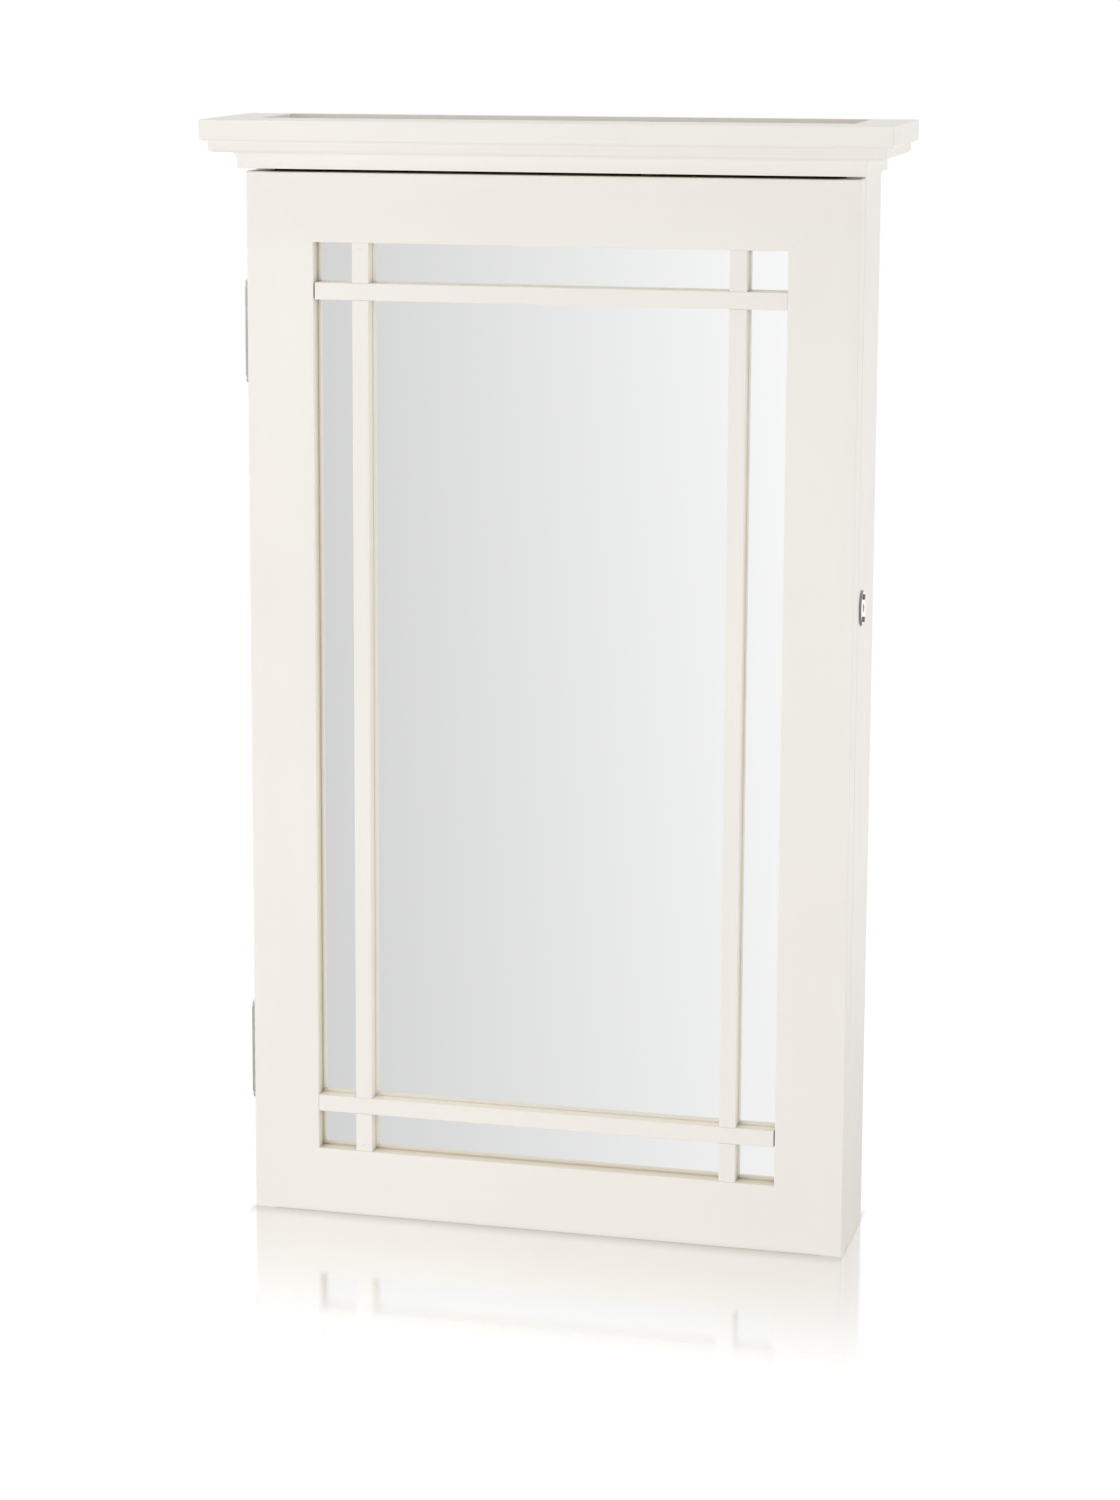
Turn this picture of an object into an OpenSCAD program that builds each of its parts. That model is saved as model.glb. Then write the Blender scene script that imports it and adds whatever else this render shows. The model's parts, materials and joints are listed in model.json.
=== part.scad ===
// Wall-mounted jewelry armoire: a shallow case behind a mirrored door.
// X runs right, Y runs back to the wall at 0, and Z runs up from the middle of the wall holes.

/* [Case] */
// Width over the case sides and over the door
case_w = 378; // [350:1:420]
// Depth of the case from the wall to its front edge
case_d = 59; // [57:1:80]
// Thickness of the side panels
side_t = 12; // [11:0.5:15]
// Thickness of the top and bottom panels
panel_t = 12; // [9:0.5:15]
// Thickness of the back panel
back_t = 6; // [4:0.5:8]
// How far the back panel is let into the sides
back_rabbet = 6; // [4:0.5:8]
// Radius of the eased wood edges
ease_r = 1; // [0.4:0.1:1.5]

/* [Door] */
// Height of the door
door_h = 660; // [640:1:740]
// Thickness of the door frame
door_t = 18; // [17:0.5:22]
// Width of the door's stiles and rails
stile_w = 42.5; // [40:0.5:50]
// Gap between the door's back and the case
door_gap = 1; // [0.9:0.1:1.4]
// Gap between the door's top and the crown
top_gap = 2; // [1:0.5:4]
// Width of the rabbet that holds the mirror
rabbet_w = 6; // [4:0.5:7]
// Depth of the mirror's face behind the door's front
mirror_setback = 9.5; // [8:0.5:11]
// Thickness of the mirror glass
mirror_t = 3; // [2:0.5:3]
// Thickness of the board behind the mirror
backing_t = 3; // [2:0.5:3]
// Width of the beads that hold the mirror in
bead_w = 9; // [7:0.5:12]
// Clearance round the mirror in its rabbet
glass_clear = 0.5; // [0.2:0.1:0.9]
// Thickness of the velvet board inside the door
door_pad_t = 2; // [1:0.5:3]
// How far the velvet board laps on to the frame
door_pad_lap = 1; // [0.5:0.5:2]

/* [Grille] */
// Width of the grille bars
bar_w = 10.5; // [8:0.5:14]
// Distance from the frame to a grille bar
bar_inset = 24.5; // [18:0.5:40]
// Depth of the bars' fronts behind the door's front
bar_setback = 0.5; // [0.2:0.1:1.5]
// Open joint at one end of each level bar
bar_end_gap = 0.7; // [0.3:0.1:0.9]

/* [Crown] */
// Projection of the crown past the case sides
crown_side = 22; // [20:0.5:28]
// Projection of the crown past the door's front
crown_front = 24; // [22:0.5:30]
// Width of the crown's front moulding from front to back
crown_front_w = 36; // [33:0.5:42]
// Height of the flat band at the top
fascia_h = 12.6; // [8:0.2:18]
// Radius under the flat band
fascia_r = 1.9; // [1:0.1:3]
// Step from the flat band in to the middle band
fascia_step = 4.3; // [3:0.1:6]
// Height of the middle band
band_h = 7.1; // [5:0.1:9]
// Radius under the middle band
band_r = 3.2; // [1.5:0.1:4]
// Setback of the middle band's underside
band_setback = 15; // [12:0.5:16]
// Height of the hollow moulding
cove_h = 6.3; // [4:0.1:9]
// Width of the hollow moulding
cove_w = 3.4; // [2:0.1:4]
// Height of the lowest flat
fillet_h = 4; // [2:0.5:6]

/* [Hinges] */
// Length of the hinge leaves
hinge_len = 56; // [50:1:66]
// Distance from the door's end to a hinge's middle
hinge_inset = 99.5; // [70:0.5:130]
// Number of knuckles
knuckles = 4; // [2:1:6]
// Distance of the hinge pin outside the case side
hinge_out = 4.6; // [4:0.1:6]
// Radius of the knuckles
knuckle_r = 2.8; // [2.4:0.1:3.2]
// Radius of the hinge pin
pin_r = 1.5; // [1.2:0.1:1.7]
// Thickness of the hinge leaves
leaf_t = 1.2; // [0.8:0.1:1.4]
// Reach of the hinge leaves over the wood
leaf_reach = 10; // [9:0.5:10.5]
// Length of the pin's tips
tip_h = 4.5; // [2:0.5:6]
// Radius of the hinge screws
hinge_screw_r = 1.2; // [1:0.1:1.4]
// Radius of the hinge screws' heads
hinge_head_r = 2.4; // [2:0.1:2.6]
// Length of the hinge screws
hinge_screw_len = 12; // [8:0.5:14]

/* [Lock] */
// Height of the lock above the door's middle
lock_z = 71; // [50:1:90]
// Distance of the lock's axis behind the case's front edge
lock_setback = 11.5; // [11.4:0.1:14]
// Height of the lock body
lock_h = 28; // [28:1:34]
// Thickness of the lock body
lock_t = 8; // [6:0.5:10]
// Radius of the lock hub
hub_r = 3.5; // [3:0.1:4]
// Radius of the collar that keeps the hub in
collar_r = 4.4; // [4.2:0.1:4.8]
// Thickness of the hook cam
cam_t = 1.8; // [1.4:0.1:2.4]
// Outer radius of the hook cam
cam_r = 10.8; // [10.4:0.1:10.9]
// Width of the cam's hook
hook_band = 1.8; // [1.4:0.1:1.9]
// Distance of the keeper's peg from the lock's axis
peg_place = 6.9; // [6.8:0.1:7]
// Radius of the keeper's peg
peg_r = 1.5; // [1.2:0.1:1.5]
// Thickness of the keeper's plates
keeper_t = 1.6; // [1.2:0.1:2]
// Height of the oval plate on the side
plate_h = 22; // [20:0.5:24]
// Width of the oval plate on the side
plate_w = 18; // [14:0.5:18.5]
// Thickness of the oval plate
plate_t = 1.5; // [1.2:0.1:2]
// Distance of the oval plate's screws from its middle
plate_screw_place = 6.9; // [6.8:0.1:7.4]

/* [Interior] */
// Thickness of the velvet board on the back
lining_t = 2; // [1.5:0.5:3]
// Thickness of the velvet board on the sides
side_lining_t = 1.5; // [1:0.5:2]
// Distance of the fittings behind the case's front edge
fit_setback = 14; // [12:0.5:18]
// Thickness of the shelf boards and the upright
board_t = 6; // [5:0.5:8]
// Thickness of the strips that edge the shelves
lip_t = 4; // [3:0.5:5]
// Height of the strips that edge the shelves
lip_h = 22; // [16:1:26]
// Clear height under the long shelf
low_bay_h = 120; // [100:1:140]
// Width of the necklace bay
necklace_w = 225; // [200:1:240]
// Distance from one small shelf to the next
shelf_pitch = 115; // [100:1:125]
// Thickness of the rails that take the wall screws
rail_t = 12; // [10:0.5:15]
// Height of the upper wall rail
upper_rail_h = 50; // [45:1:60]
// Height of the lower wall rail
lower_rail_h = 40; // [30:1:50]
// Radius of the wall holes
wall_hole_r = 2.5; // [2:0.1:3.5]
// Number of necklace hooks
hook_n = 8; // [6:2:10]
// Inner radius of a necklace hook's bend
hook_bend = 5.5; // [4.5:0.1:6]
// Radius of a necklace hook's wire
hook_r = 1.3; // [1:0.1:1.6]
// Number of ring rolls on a shelf
roll_n = 3; // [2:1:4]
// Radius of the bracelet bar
bracelet_r = 4; // [3:0.5:5]
// Distance of the bracelet bar below the upper wall rail
bracelet_drop = 26; // [20:1:40]
// Height of the earring rails
ear_rail_h = 14; // [10:1:18]
// Thickness of the earring rails
ear_rail_t = 3; // [2:0.5:3.5]
// Width of an earring post
ear_post_w = 8; // [6:0.5:10]
// Distance from one earring rail to the next
ear_pitch = 70; // [50:1:80]
// Distance from one earring notch to the next
notch_pitch = 12; // [8:1:20]

/* [Hidden] */
// Gaps and fits
run_fit = 0.05;
wood_fit = 0.03;
knuckle_gap = 0.3;
small_gap = 0.3;
cut = 1;
round_fn = 32;
fine_fn = 48;

// Heights
z_bot = -door_h / 2;
z_door = door_h / 2;
z_crown = z_door + top_gap;
crown_h = fillet_h + cove_h + band_h + fascia_h;
z_crown_top = z_crown + crown_h;
z_floor = z_bot + panel_t;
z_wall = z_door - panel_t - lower_rail_h / 2;
z_rail_up = z_crown - upper_rail_h;
z_rail_low = z_floor + lower_rail_h;

// Depths
y_case = -case_d;
y_door_back = y_case - door_gap;
y_door = y_door_back - door_t;
y_crown = y_door - crown_front;
y_crown_in = y_crown + crown_front_w;
y_rail = -back_t - rail_t;
y_lining = -back_t - lining_t;
y_fit = y_case + fit_setback;
y_board = y_fit + lip_t;
y_glass = y_door + mirror_setback;
y_backing = y_glass + mirror_t;
y_bead = y_backing + backing_t;
y_door_pad = y_door_back + door_pad_t;

// Widths
half_w = case_w / 2;
x_side_in = half_w - side_t;
x_lining = x_side_in - side_lining_t;
x_crown_in = x_side_in + back_rabbet;
x_crown = half_w + crown_side;
crown_side_w = x_crown - x_crown_in;
crown_top_r = 0.8;
x_part0 = -x_lining + necklace_w;
x_part1 = x_part0 + board_t;
lining_reveal = 2;

// Door opening
open_w = case_w - 2 * stile_w;
open_h = door_h - 2 * stile_w;
inner_ease = 0.5;
bead_joint = 0.2;
glass_w = open_w + 2 * (rabbet_w - glass_clear);
glass_h = open_h + 2 * (rabbet_w - glass_clear);
bar_x = open_w / 2 - bar_inset - bar_w;
bar_z = open_h / 2 - bar_inset - bar_w;
bar_y = y_door + bar_setback;
bar_mid = (bar_y + y_glass) / 2;

// Shelves
z_long = z_floor + low_bay_h;
z_long_top = z_long + board_t;
shelf_rest = 10;
z_mid = lock_z - lock_h / 2 - lip_h - shelf_rest;
z_small = [z_mid - shelf_pitch, z_mid, z_mid + shelf_pitch];
divider_t = 5;

// Necklace hooks
hook_pitch = necklace_w / hook_n;
x_wall = x_lining - 2 * hook_pitch;
hook_drop = 18;
hook_z = z_crown - hook_drop;
hook_shank = 6;
hook_root = 8;
hook_flange_r = 4;
hook_flange_t = 1.2;
hook_ball = 0.4;
hook_tip_r = hook_r + hook_ball;
hook_open = 20;
hook_turn = 230;

// Ring rolls
roll_gap = 0.6;
roll_end = 3;
roll_flat = 0.5;
roll_pitch = (y_lining - y_board) / roll_n;
roll_r = (roll_pitch - roll_gap) / 2;
roll_len = x_lining - x_part1 - 2 * roll_gap;

// Bracelet bar
socket_wall = 4;
socket_r = bracelet_r + socket_wall;
socket_t = 5;
socket_deep = 3;
z_bracelet = z_rail_up - bracelet_drop;
y_bracelet = (y_board + y_lining) / 2;

// Hinge
x_hinge = -half_w - hinge_out;
y_hinge = (y_case + y_door_back) / 2;
z_hinge = door_h / 2 - hinge_inset;
knuckle_len = hinge_len / knuckles;
leaf_start = knuckle_r + small_gap;
x_leaf = -half_w + leaf_reach;
x_hinge_screw = -half_w + leaf_reach / 2;
hinge_screw_end = 9;
hinge_screw_place = hinge_len / 2 - hinge_screw_end;
head_depth = 1.2;
slot_w = 0.6;
slot_deep = 0.5;
tip_r = knuckle_r - small_gap;
tip_gap = 0.2;

// Lock
y_lock = y_case + lock_setback;
lock_front = 9;
lock_back = 11;
x_lock = x_side_in - lock_t;
x_cam = x_lock - small_gap;
collar_t = 2;
collar_gap = 0.2;
cam_hub_r = 5;
hook_inner = cam_r - hook_band;
hook_from = 15;
hook_to = 95;
spoke_from = -5;
unlocked = -90;
peg_angle = 45;
peg_y = y_lock - peg_place * sin(peg_angle);
peg_z = lock_z + peg_place * cos(peg_angle);
key_r = 1.3;
key_slot_w = 1.3;
key_rise = 1.2;
key_drop = 2.4;
key_deep = 10;
cam_screw_r = 1.2;
cam_screw_len = 6;
cam_head_r = 3.4;
cam_head_t = 1.4;
lock_screw_r = 1.1;
lock_screw_len = 8;
lock_screw_end = 3.5;
lock_screw_z = lock_h / 2 - lock_screw_end;
lock_screw_y = 7.8;
plate_edge = 0.8;
plate_bevel = 0.5;
plate_base_t = plate_t - plate_bevel;
plate_screw_r = 0.9;
plate_head_r = 1.7;
plate_head_t = 0.8;
plate_screw_len = 7;

// Keeper on the door
keeper_clear = 3.3;
x_keeper = x_cam - cam_t - keeper_clear;
keeper_base_w = 7.5;
keeper_h = 11;
keeper_screw_r = 1;
keeper_screw_len = 8;
keeper_head_r = 1.9;
keeper_base_h = 20;
keeper_screw_z = 7.5;

// Magnetic catch
catch_w = 12;
catch_h = 34;
catch_d = 18;
catch_front = 0.2;
magnet_w = 6;
magnet_h = 22;
magnet_d = 8;
z_catch = (z_long_top + z_small[0]) / 2;
strike_w = 12;
strike_h = 26;
strike_t = 0.9;
strike_side = 1.5;
x_strike = x_side_in - strike_side;

// Buffers
buffer_r = 3.5;
buffer_t = door_gap - small_gap;
buffer_place = 25;

// Earring rack
ear_side = 7;
ear_len = open_w - 2 * ear_side;
ear_post_t = 6;
ear_off = 2.4;
ear_n = 3;
ear_top = 150;
ear_end = 20;
notch_w = 1.6;
notch_deep = 5;

// Points of a quarter turn of radius r about (cx, cy), from angle a
function corner(cx, cy, r, a) = [for (i = [0:3]) [cx + r * cos(a + 30 * i), cy + r * sin(a + 30 * i)]];

// A rectangle with its four corners eased
function eased(x0, y0, x1, y1, r) = concat(
  corner(x1 - r, y1 - r, r, 0), corner(x0 + r, y1 - r, r, 90),
  corner(x0 + r, y0 + r, r, 180), corner(x1 - r, y0 + r, r, 270));

module block(lo, hi) {
  translate(lo) cube(hi - lo);
}

// A board that stands on end, its four upright edges eased
module upright(lo, hi, r = ease_r) {
  translate([0, 0, lo[2]])
    linear_extrude(hi[2] - lo[2]) polygon(eased(lo[0], lo[1], hi[0], hi[1], r));
}

// A board that lies along X, its four long edges eased
module level(lo, hi, r = ease_r) {
  translate([lo[0], 0, 0]) rotate([90, 0, 90])
    linear_extrude(hi[0] - lo[0]) polygon(eased(lo[1], lo[2], hi[1], hi[2], r));
}

// A screw along +Z with its head's top at 0, the shank going up
module sunk_screw(r, head_r, length) {
  difference() {
    union() {
      cylinder(h = head_depth, r1 = head_r, r2 = r, $fn = round_fn);
      cylinder(h = length, r = r, $fn = round_fn);
    }
    block([-head_r - cut, -slot_w / 2, -cut], [head_r + cut, slot_w / 2, slot_deep]);
  }
}

// The hole that a sunk screw fills
module sunk_hole(r, head_r, length) {
  cylinder(h = head_depth, r1 = head_r + wood_fit, r2 = r + wood_fit, $fn = round_fn);
  cylinder(h = length + wood_fit, r = r + wood_fit, $fn = round_fn);
}

module pan_screw(r, head_r, head_t, length) {
  difference() {
    union() {
      translate([0, 0, -head_t]) cylinder(h = head_t, r = head_r, $fn = round_fn);
      translate([0, 0, -cut / 2]) cylinder(h = length + cut / 2, r = r, $fn = round_fn);
    }
    block([-head_r - cut, -slot_w / 2, -head_t - cut], [head_r + cut, slot_w / 2, slot_deep - head_t]);
  }
}

// Children at both hinges
module at_hinges() {
  for (s = [-1, 1]) translate([x_hinge, y_hinge, s * z_hinge]) children();
}

// Children at the heads of the screws of both hinges
module at_hinge_screws(y) {
  for (s = [-1, 1], k = [-1:1])
    translate([x_hinge_screw, y, s * z_hinge + k * hinge_screw_place]) children();
}

module leaf_recess(y0, y1) {
  for (s = [-1, 1])
    block([-half_w - cut, y0, s * z_hinge - hinge_len / 2], [x_leaf, y1, s * z_hinge + hinge_len / 2]);
}

// Both leaves of one side of the hinges; first names the topmost knuckle that they own
module hinge_leaves(y0, y1, first, screw_turn, y_head) {
  difference() {
    union() {
      for (s = [-1, 1]) {
        zc = s * z_hinge;
        block([x_hinge + leaf_start, y0, zc - hinge_len / 2], [x_leaf, y1, zc + hinge_len / 2]);
        for (k = [first:2:knuckles - 1]) {
          z1 = zc + hinge_len / 2 - k * knuckle_len - knuckle_gap / 2;
          z0 = zc + hinge_len / 2 - (k + 1) * knuckle_len + knuckle_gap / 2;
          translate([x_hinge, y_hinge, z0]) cylinder(h = z1 - z0, r = knuckle_r, $fn = round_fn);
          block([x_hinge, y0, z0], [x_hinge + leaf_start + cut, y1, z1]);
        }
      }
    }
    at_hinges() translate([0, 0, -hinge_len]) cylinder(h = 2 * hinge_len, r = pin_r + run_fit, $fn = round_fn);
    at_hinge_screws(y_head) rotate([screw_turn, 0, 0])
      sunk_hole(hinge_screw_r, hinge_head_r, hinge_screw_len);
  }
}

// The keyhole's outline, standing in the local XY plane
module key_shape() {
  translate([0, key_rise]) circle(r = key_r, $fn = round_fn);
  translate([-key_slot_w / 2, -key_drop]) square([key_slot_w, key_drop + key_rise]);
}

// Children with their local XY plane turned to face +X at the lock's axis
module at_lock(x) {
  translate([x, y_lock, lock_z]) rotate([90, 0, 90]) children();
}

// Case panels
module side_shape() {
  difference() {
    upright([x_side_in, y_case, z_bot], [half_w, 0, z_crown]);
    block([x_side_in - cut, -back_t, z_bot - cut], [x_crown_in, cut, z_crown + cut]);
  }
}

module side_panel_left() {
  color("ivory") difference() {
    mirror([1, 0, 0]) side_shape();
    leaf_recess(y_case - cut, y_case + leaf_t);
    at_hinge_screws(y_case) rotate([-90, 0, 0])
      sunk_hole(hinge_screw_r, hinge_head_r, hinge_screw_len);
  }
}

module side_panel_right() {
  color("ivory") difference() {
    side_shape();
    at_lock(x_side_in - cut) cylinder(h = side_t + 2 * cut, r = collar_r + small_gap, $fn = round_fn);
    for (s = [-1, 1]) {
      translate([half_w, y_lock, lock_z + s * plate_screw_place]) rotate([0, -90, 0])
        cylinder(h = plate_screw_len, r = plate_screw_r + wood_fit, $fn = round_fn);
      translate([x_lock, y_lock + lock_screw_y, lock_z + s * lock_screw_z]) rotate([0, 90, 0])
        cylinder(h = lock_t + lock_screw_len, r = lock_screw_r + wood_fit, $fn = round_fn);
    }
  }
}

module top_panel() {
  color("ivory") block([-x_crown_in, y_crown_in, z_crown], [x_crown_in, -back_t, z_crown + panel_t]);
}

module bottom_panel() {
  color("ivory") difference() {
    level([-x_side_in, y_case, z_bot], [x_side_in, -back_t + ease_r, z_floor]);
    block([-half_w, -back_t, z_bot - cut], [half_w, cut, z_floor + cut]);
  }
}

// The four holes for the wall screws
module wall_holes() {
  for (sx = [-1, 1], sz = [-1, 1])
    translate([sx * x_wall, y_rail - cut, sz * z_wall]) rotate([-90, 0, 0])
      cylinder(h = rail_t + back_t + 2 * cut, r = wall_hole_r, $fn = round_fn);
}

module back_panel() {
  color("ivory") difference() {
    block([-x_crown_in, -back_t, z_bot], [x_crown_in, 0, z_crown_top]);
    wall_holes();
  }
}

function hook_x(i) = -x_lining + hook_pitch * (i + 0.5);

module wall_rail_upper() {
  color([0.13, 0.10, 0.09]) difference() {
    block([-x_side_in, y_rail, z_rail_up], [x_side_in, -back_t, z_crown]);
    wall_holes();
    for (i = [0:hook_n - 1]) translate([hook_x(i), y_rail, hook_z]) rotate([-90, 0, 0])
      cylinder(h = hook_root, r = hook_r + wood_fit, $fn = round_fn);
  }
}

module wall_rail_lower() {
  color([0.13, 0.10, 0.09]) difference() {
    block([-x_side_in, y_rail, z_floor], [x_side_in, -back_t, z_rail_low]);
    wall_holes();
  }
}

// The crown's section: distance in from its outermost face, and height
function crown_section(depth) = let (
    s3 = band_setback + cove_w,
    z1 = fillet_h + cove_h,
    z2 = z1 + band_h)
  concat(
    [[depth, 0], [s3, 0]],
    [for (a = [0:15:90]) [band_setback + cove_w * cos(a), fillet_h + cove_h * sin(a)]],
    [for (a = [270:-15:180]) [fascia_step + band_r + band_r * cos(a), z1 + band_r + band_r * sin(a)]],
    [[fascia_step, z2]],
    [for (a = [270:-15:180]) [fascia_r + fascia_r * cos(a), z2 + fascia_r + fascia_r * sin(a)]],
    [for (a = [180:-30:90]) [crown_top_r + crown_top_r * cos(a), crown_h - crown_top_r + crown_top_r * sin(a)]],
    [[depth, crown_h]]);

// A plan outline carried up through the crown
module crown_plan(points) {
  translate([0, 0, z_crown - cut]) linear_extrude(crown_h + 2 * cut) polygon(points);
}

module crown_front_moulding() {
  color("ivory") intersection() {
    translate([-x_crown, y_crown, z_crown]) rotate([90, 0, 90])
      linear_extrude(2 * x_crown) polygon(crown_section(crown_front_w));
    crown_plan([[-x_crown, y_crown], [x_crown, y_crown], [x_crown_in, y_crown + crown_side_w],
      [x_crown_in, y_crown_in], [-x_crown_in, y_crown_in], [-x_crown_in, y_crown + crown_side_w]]);
  }
}

module crown_side_moulding() {
  intersection() {
    translate([x_crown, 0, z_crown]) rotate([90, 0, 0]) mirror([1, 0, 0])
      linear_extrude(-y_crown) polygon(crown_section(crown_side_w));
    crown_plan([[x_crown, y_crown], [x_crown, 0], [x_crown_in, 0], [x_crown_in, y_crown + crown_side_w]]);
  }
}

module crown_left_moulding() {
  color("ivory") mirror([1, 0, 0]) crown_side_moulding();
}

module crown_right_moulding() {
  color("ivory") crown_side_moulding();
}

// Velvet boards
module lining_back() {
  color([0.11, 0.08, 0.07])
    block([-x_side_in, y_lining, z_rail_low], [x_side_in, -back_t, z_rail_up]);
}

module side_lining() {
  block([x_lining, y_case + lining_reveal, z_floor], [x_side_in, y_rail, z_crown]);
  block([x_lining, y_rail - small_gap, z_rail_low], [x_side_in, y_lining, z_rail_up]);
}

module lining_left() {
  color([0.11, 0.08, 0.07]) mirror([1, 0, 0]) side_lining();
}

module lining_right() {
  color([0.11, 0.08, 0.07]) difference() {
    side_lining();
    block([x_lining - cut, y_lock - lock_front - small_gap, lock_z - lock_h / 2 - small_gap],
      [x_side_in + cut, y_lock + lock_back + small_gap, lock_z + lock_h / 2 + small_gap]);
    block([x_lining - cut, y_case - cut, z_catch - catch_h / 2],
      [x_side_in + cut, y_case + catch_front + catch_d, z_catch + catch_h / 2]);
  }
}

// Shelves and their edging
module upright_partition() {
  color("ivory") {
    block([x_part0, y_board, z_long_top], [x_part1, y_rail, z_crown]);
    block([x_part0, y_rail - cut, z_long_top], [x_part1, y_lining, z_rail_up]);
  }
}

module shelf(x0, z) {
  block([x0, y_board, z], [x_lining, y_lining, z + board_t]);
}

module lip(x0, z) {
  level([x0, y_fit, z], [x_lining, y_board, z + lip_h]);
}

module long_shelf() {
  color("ivory") shelf(-x_lining, z_long);
}

module long_shelf_lip() {
  color("ivory") lip(-x_lining, z_long);
}

module bottom_lip() {
  color("ivory") lip(-x_lining, z_floor);
}

module bottom_divider(x) {
  color("ivory") block([x - divider_t / 2, y_board, z_floor], [x + divider_t / 2, y_rail, z_rail_low]);
}

module bottom_divider_left() {
  bottom_divider(-x_lining / 3);
}

module bottom_divider_right() {
  bottom_divider(x_lining / 3);
}

module small_shelf_lower() {
  color("ivory") shelf(x_part1, z_small[0]);
}

module small_shelf_middle() {
  color("ivory") shelf(x_part1, z_small[1]);
}

module small_shelf_upper() {
  color("ivory") shelf(x_part1, z_small[2]);
}

module small_shelf_lips() {
  color("ivory") for (z = z_small) lip(x_part1, z);
}

// Padded rolls that hold rings between them, flat where they lie on the shelf
module ring_rolls(z) {
  color([0.11, 0.08, 0.07]) for (i = [0:roll_n - 1])
    intersection() {
      translate([x_part1 + roll_gap, y_board + roll_pitch * (i + 0.5), z + roll_r - roll_flat])
        rotate([0, 90, 0]) rotate_extrude($fn = fine_fn)
          polygon(concat([[0, 0]], corner(roll_r - roll_end, roll_end, roll_end, 270),
            corner(roll_r - roll_end, roll_len - roll_end, roll_end, 0), [[0, roll_len]]));
      block([x_part1, y_board, z], [x_lining, y_lining, z + 2 * roll_r]);
    }
}

module ring_rolls_middle() {
  ring_rolls(z_small[1] + board_t);
}

module ring_rolls_upper() {
  ring_rolls(z_small[2] + board_t);
}

module bracelet_bar() {
  color("silver") translate([x_part1 + socket_t - socket_deep, y_bracelet, z_bracelet])
    rotate([0, 90, 0])
      cylinder(h = x_lining - x_part1 - 2 * (socket_t - socket_deep), r = bracelet_r, $fn = round_fn);
}

module socket_cup() {
  difference() {
    cylinder(h = socket_t, r = socket_r, $fn = fine_fn);
    translate([0, 0, socket_t - socket_deep]) cylinder(h = socket_t, r = bracelet_r + run_fit, $fn = round_fn);
  }
}

module bracelet_sockets() {
  color("silver") {
    translate([x_part1, y_bracelet, z_bracelet]) rotate([0, 90, 0]) socket_cup();
    translate([x_lining, y_bracelet, z_bracelet]) rotate([0, -90, 0]) socket_cup();
  }
}

module necklace_hook() {
  mouth = [for (a = [hook_open:20:hook_open + 360 - hook_turn + 1]) 2 * hook_bend * [cos(a), sin(a)]];
  rotate([90, 0, 0]) {
    translate([0, 0, -hook_root]) cylinder(h = hook_root + hook_shank, r = hook_r, $fn = round_fn);
    cylinder(h = hook_flange_t, r = hook_flange_r, $fn = round_fn);
  }
  translate([0, -hook_shank - hook_bend, 0]) rotate([90, 0, 90]) {
    difference() {
      rotate_extrude($fn = fine_fn) translate([hook_bend, 0]) circle(r = hook_r, $fn = round_fn);
      translate([0, 0, -hook_bend]) linear_extrude(2 * hook_bend) polygon(concat([[0, 0]], mouth));
    }
    rotate([0, 0, hook_open - hook_turn]) translate([hook_bend, 0, 0]) sphere(r = hook_tip_r, $fn = round_fn);
  }
}

module necklace_hooks() {
  color("silver") for (i = [0:hook_n - 1]) translate([hook_x(i), y_rail, hook_z]) necklace_hook();
}

// Hinges
module hinge_case_leaves() {
  color("silver") hinge_leaves(y_case, y_case + leaf_t, 0, -90, y_case);
}

module hinge_door_leaves() {
  color("silver") hinge_leaves(y_door_back - leaf_t, y_door_back, 1, 90, y_door_back);
}

module hinge_pins() {
  color("silver") at_hinges() {
    translate([0, 0, -hinge_len / 2 - tip_gap]) cylinder(h = hinge_len + 2 * tip_gap, r = pin_r, $fn = round_fn);
    for (s = [0, 1]) mirror([0, 0, s]) translate([0, 0, hinge_len / 2 + tip_gap]) {
      cylinder(h = tip_h - tip_r, r = tip_r, $fn = round_fn);
      translate([0, 0, tip_h - tip_r]) intersection() {
        sphere(r = tip_r, $fn = round_fn);
        cylinder(h = tip_r, r = knuckle_r, $fn = round_fn);
      }
    }
  }
}

module hinge_case_screws() {
  color("silver") at_hinge_screws(y_case) rotate([-90, 0, 0])
    sunk_screw(hinge_screw_r, hinge_head_r, hinge_screw_len);
}

module hinge_door_screws() {
  color("silver") at_hinge_screws(y_door_back) rotate([90, 0, 0])
    sunk_screw(hinge_screw_r, hinge_head_r, hinge_screw_len);
}

// Magnetic catch
module magnet_space() {
  x_mid = x_side_in - catch_w / 2;
  block([x_mid - magnet_w / 2, y_case + catch_front, z_catch - magnet_h / 2],
    [x_mid + magnet_w / 2, y_case + catch_front + magnet_d, z_catch + magnet_h / 2]);
}

module catch_body() {
  color("white") difference() {
    upright([x_side_in - catch_w, y_case + catch_front, z_catch - catch_h / 2],
      [x_side_in, y_case + catch_front + catch_d, z_catch + catch_h / 2]);
    magnet_space();
  }
}

module catch_magnet() {
  color("dimgray") magnet_space();
}

module catch_strike() {
  color("silver") block([x_strike - strike_w, y_door_back, z_catch - strike_h / 2],
    [x_strike, y_door_back + strike_t, z_catch + strike_h / 2]);
}

module buffers() {
  color("white") for (s = [-1, 1])
    translate([half_w - side_t / 2, y_case, s * (z_door - buffer_place)]) rotate([90, 0, 0])
      cylinder(h = buffer_t, r = buffer_r, $fn = round_fn);
}

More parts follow.
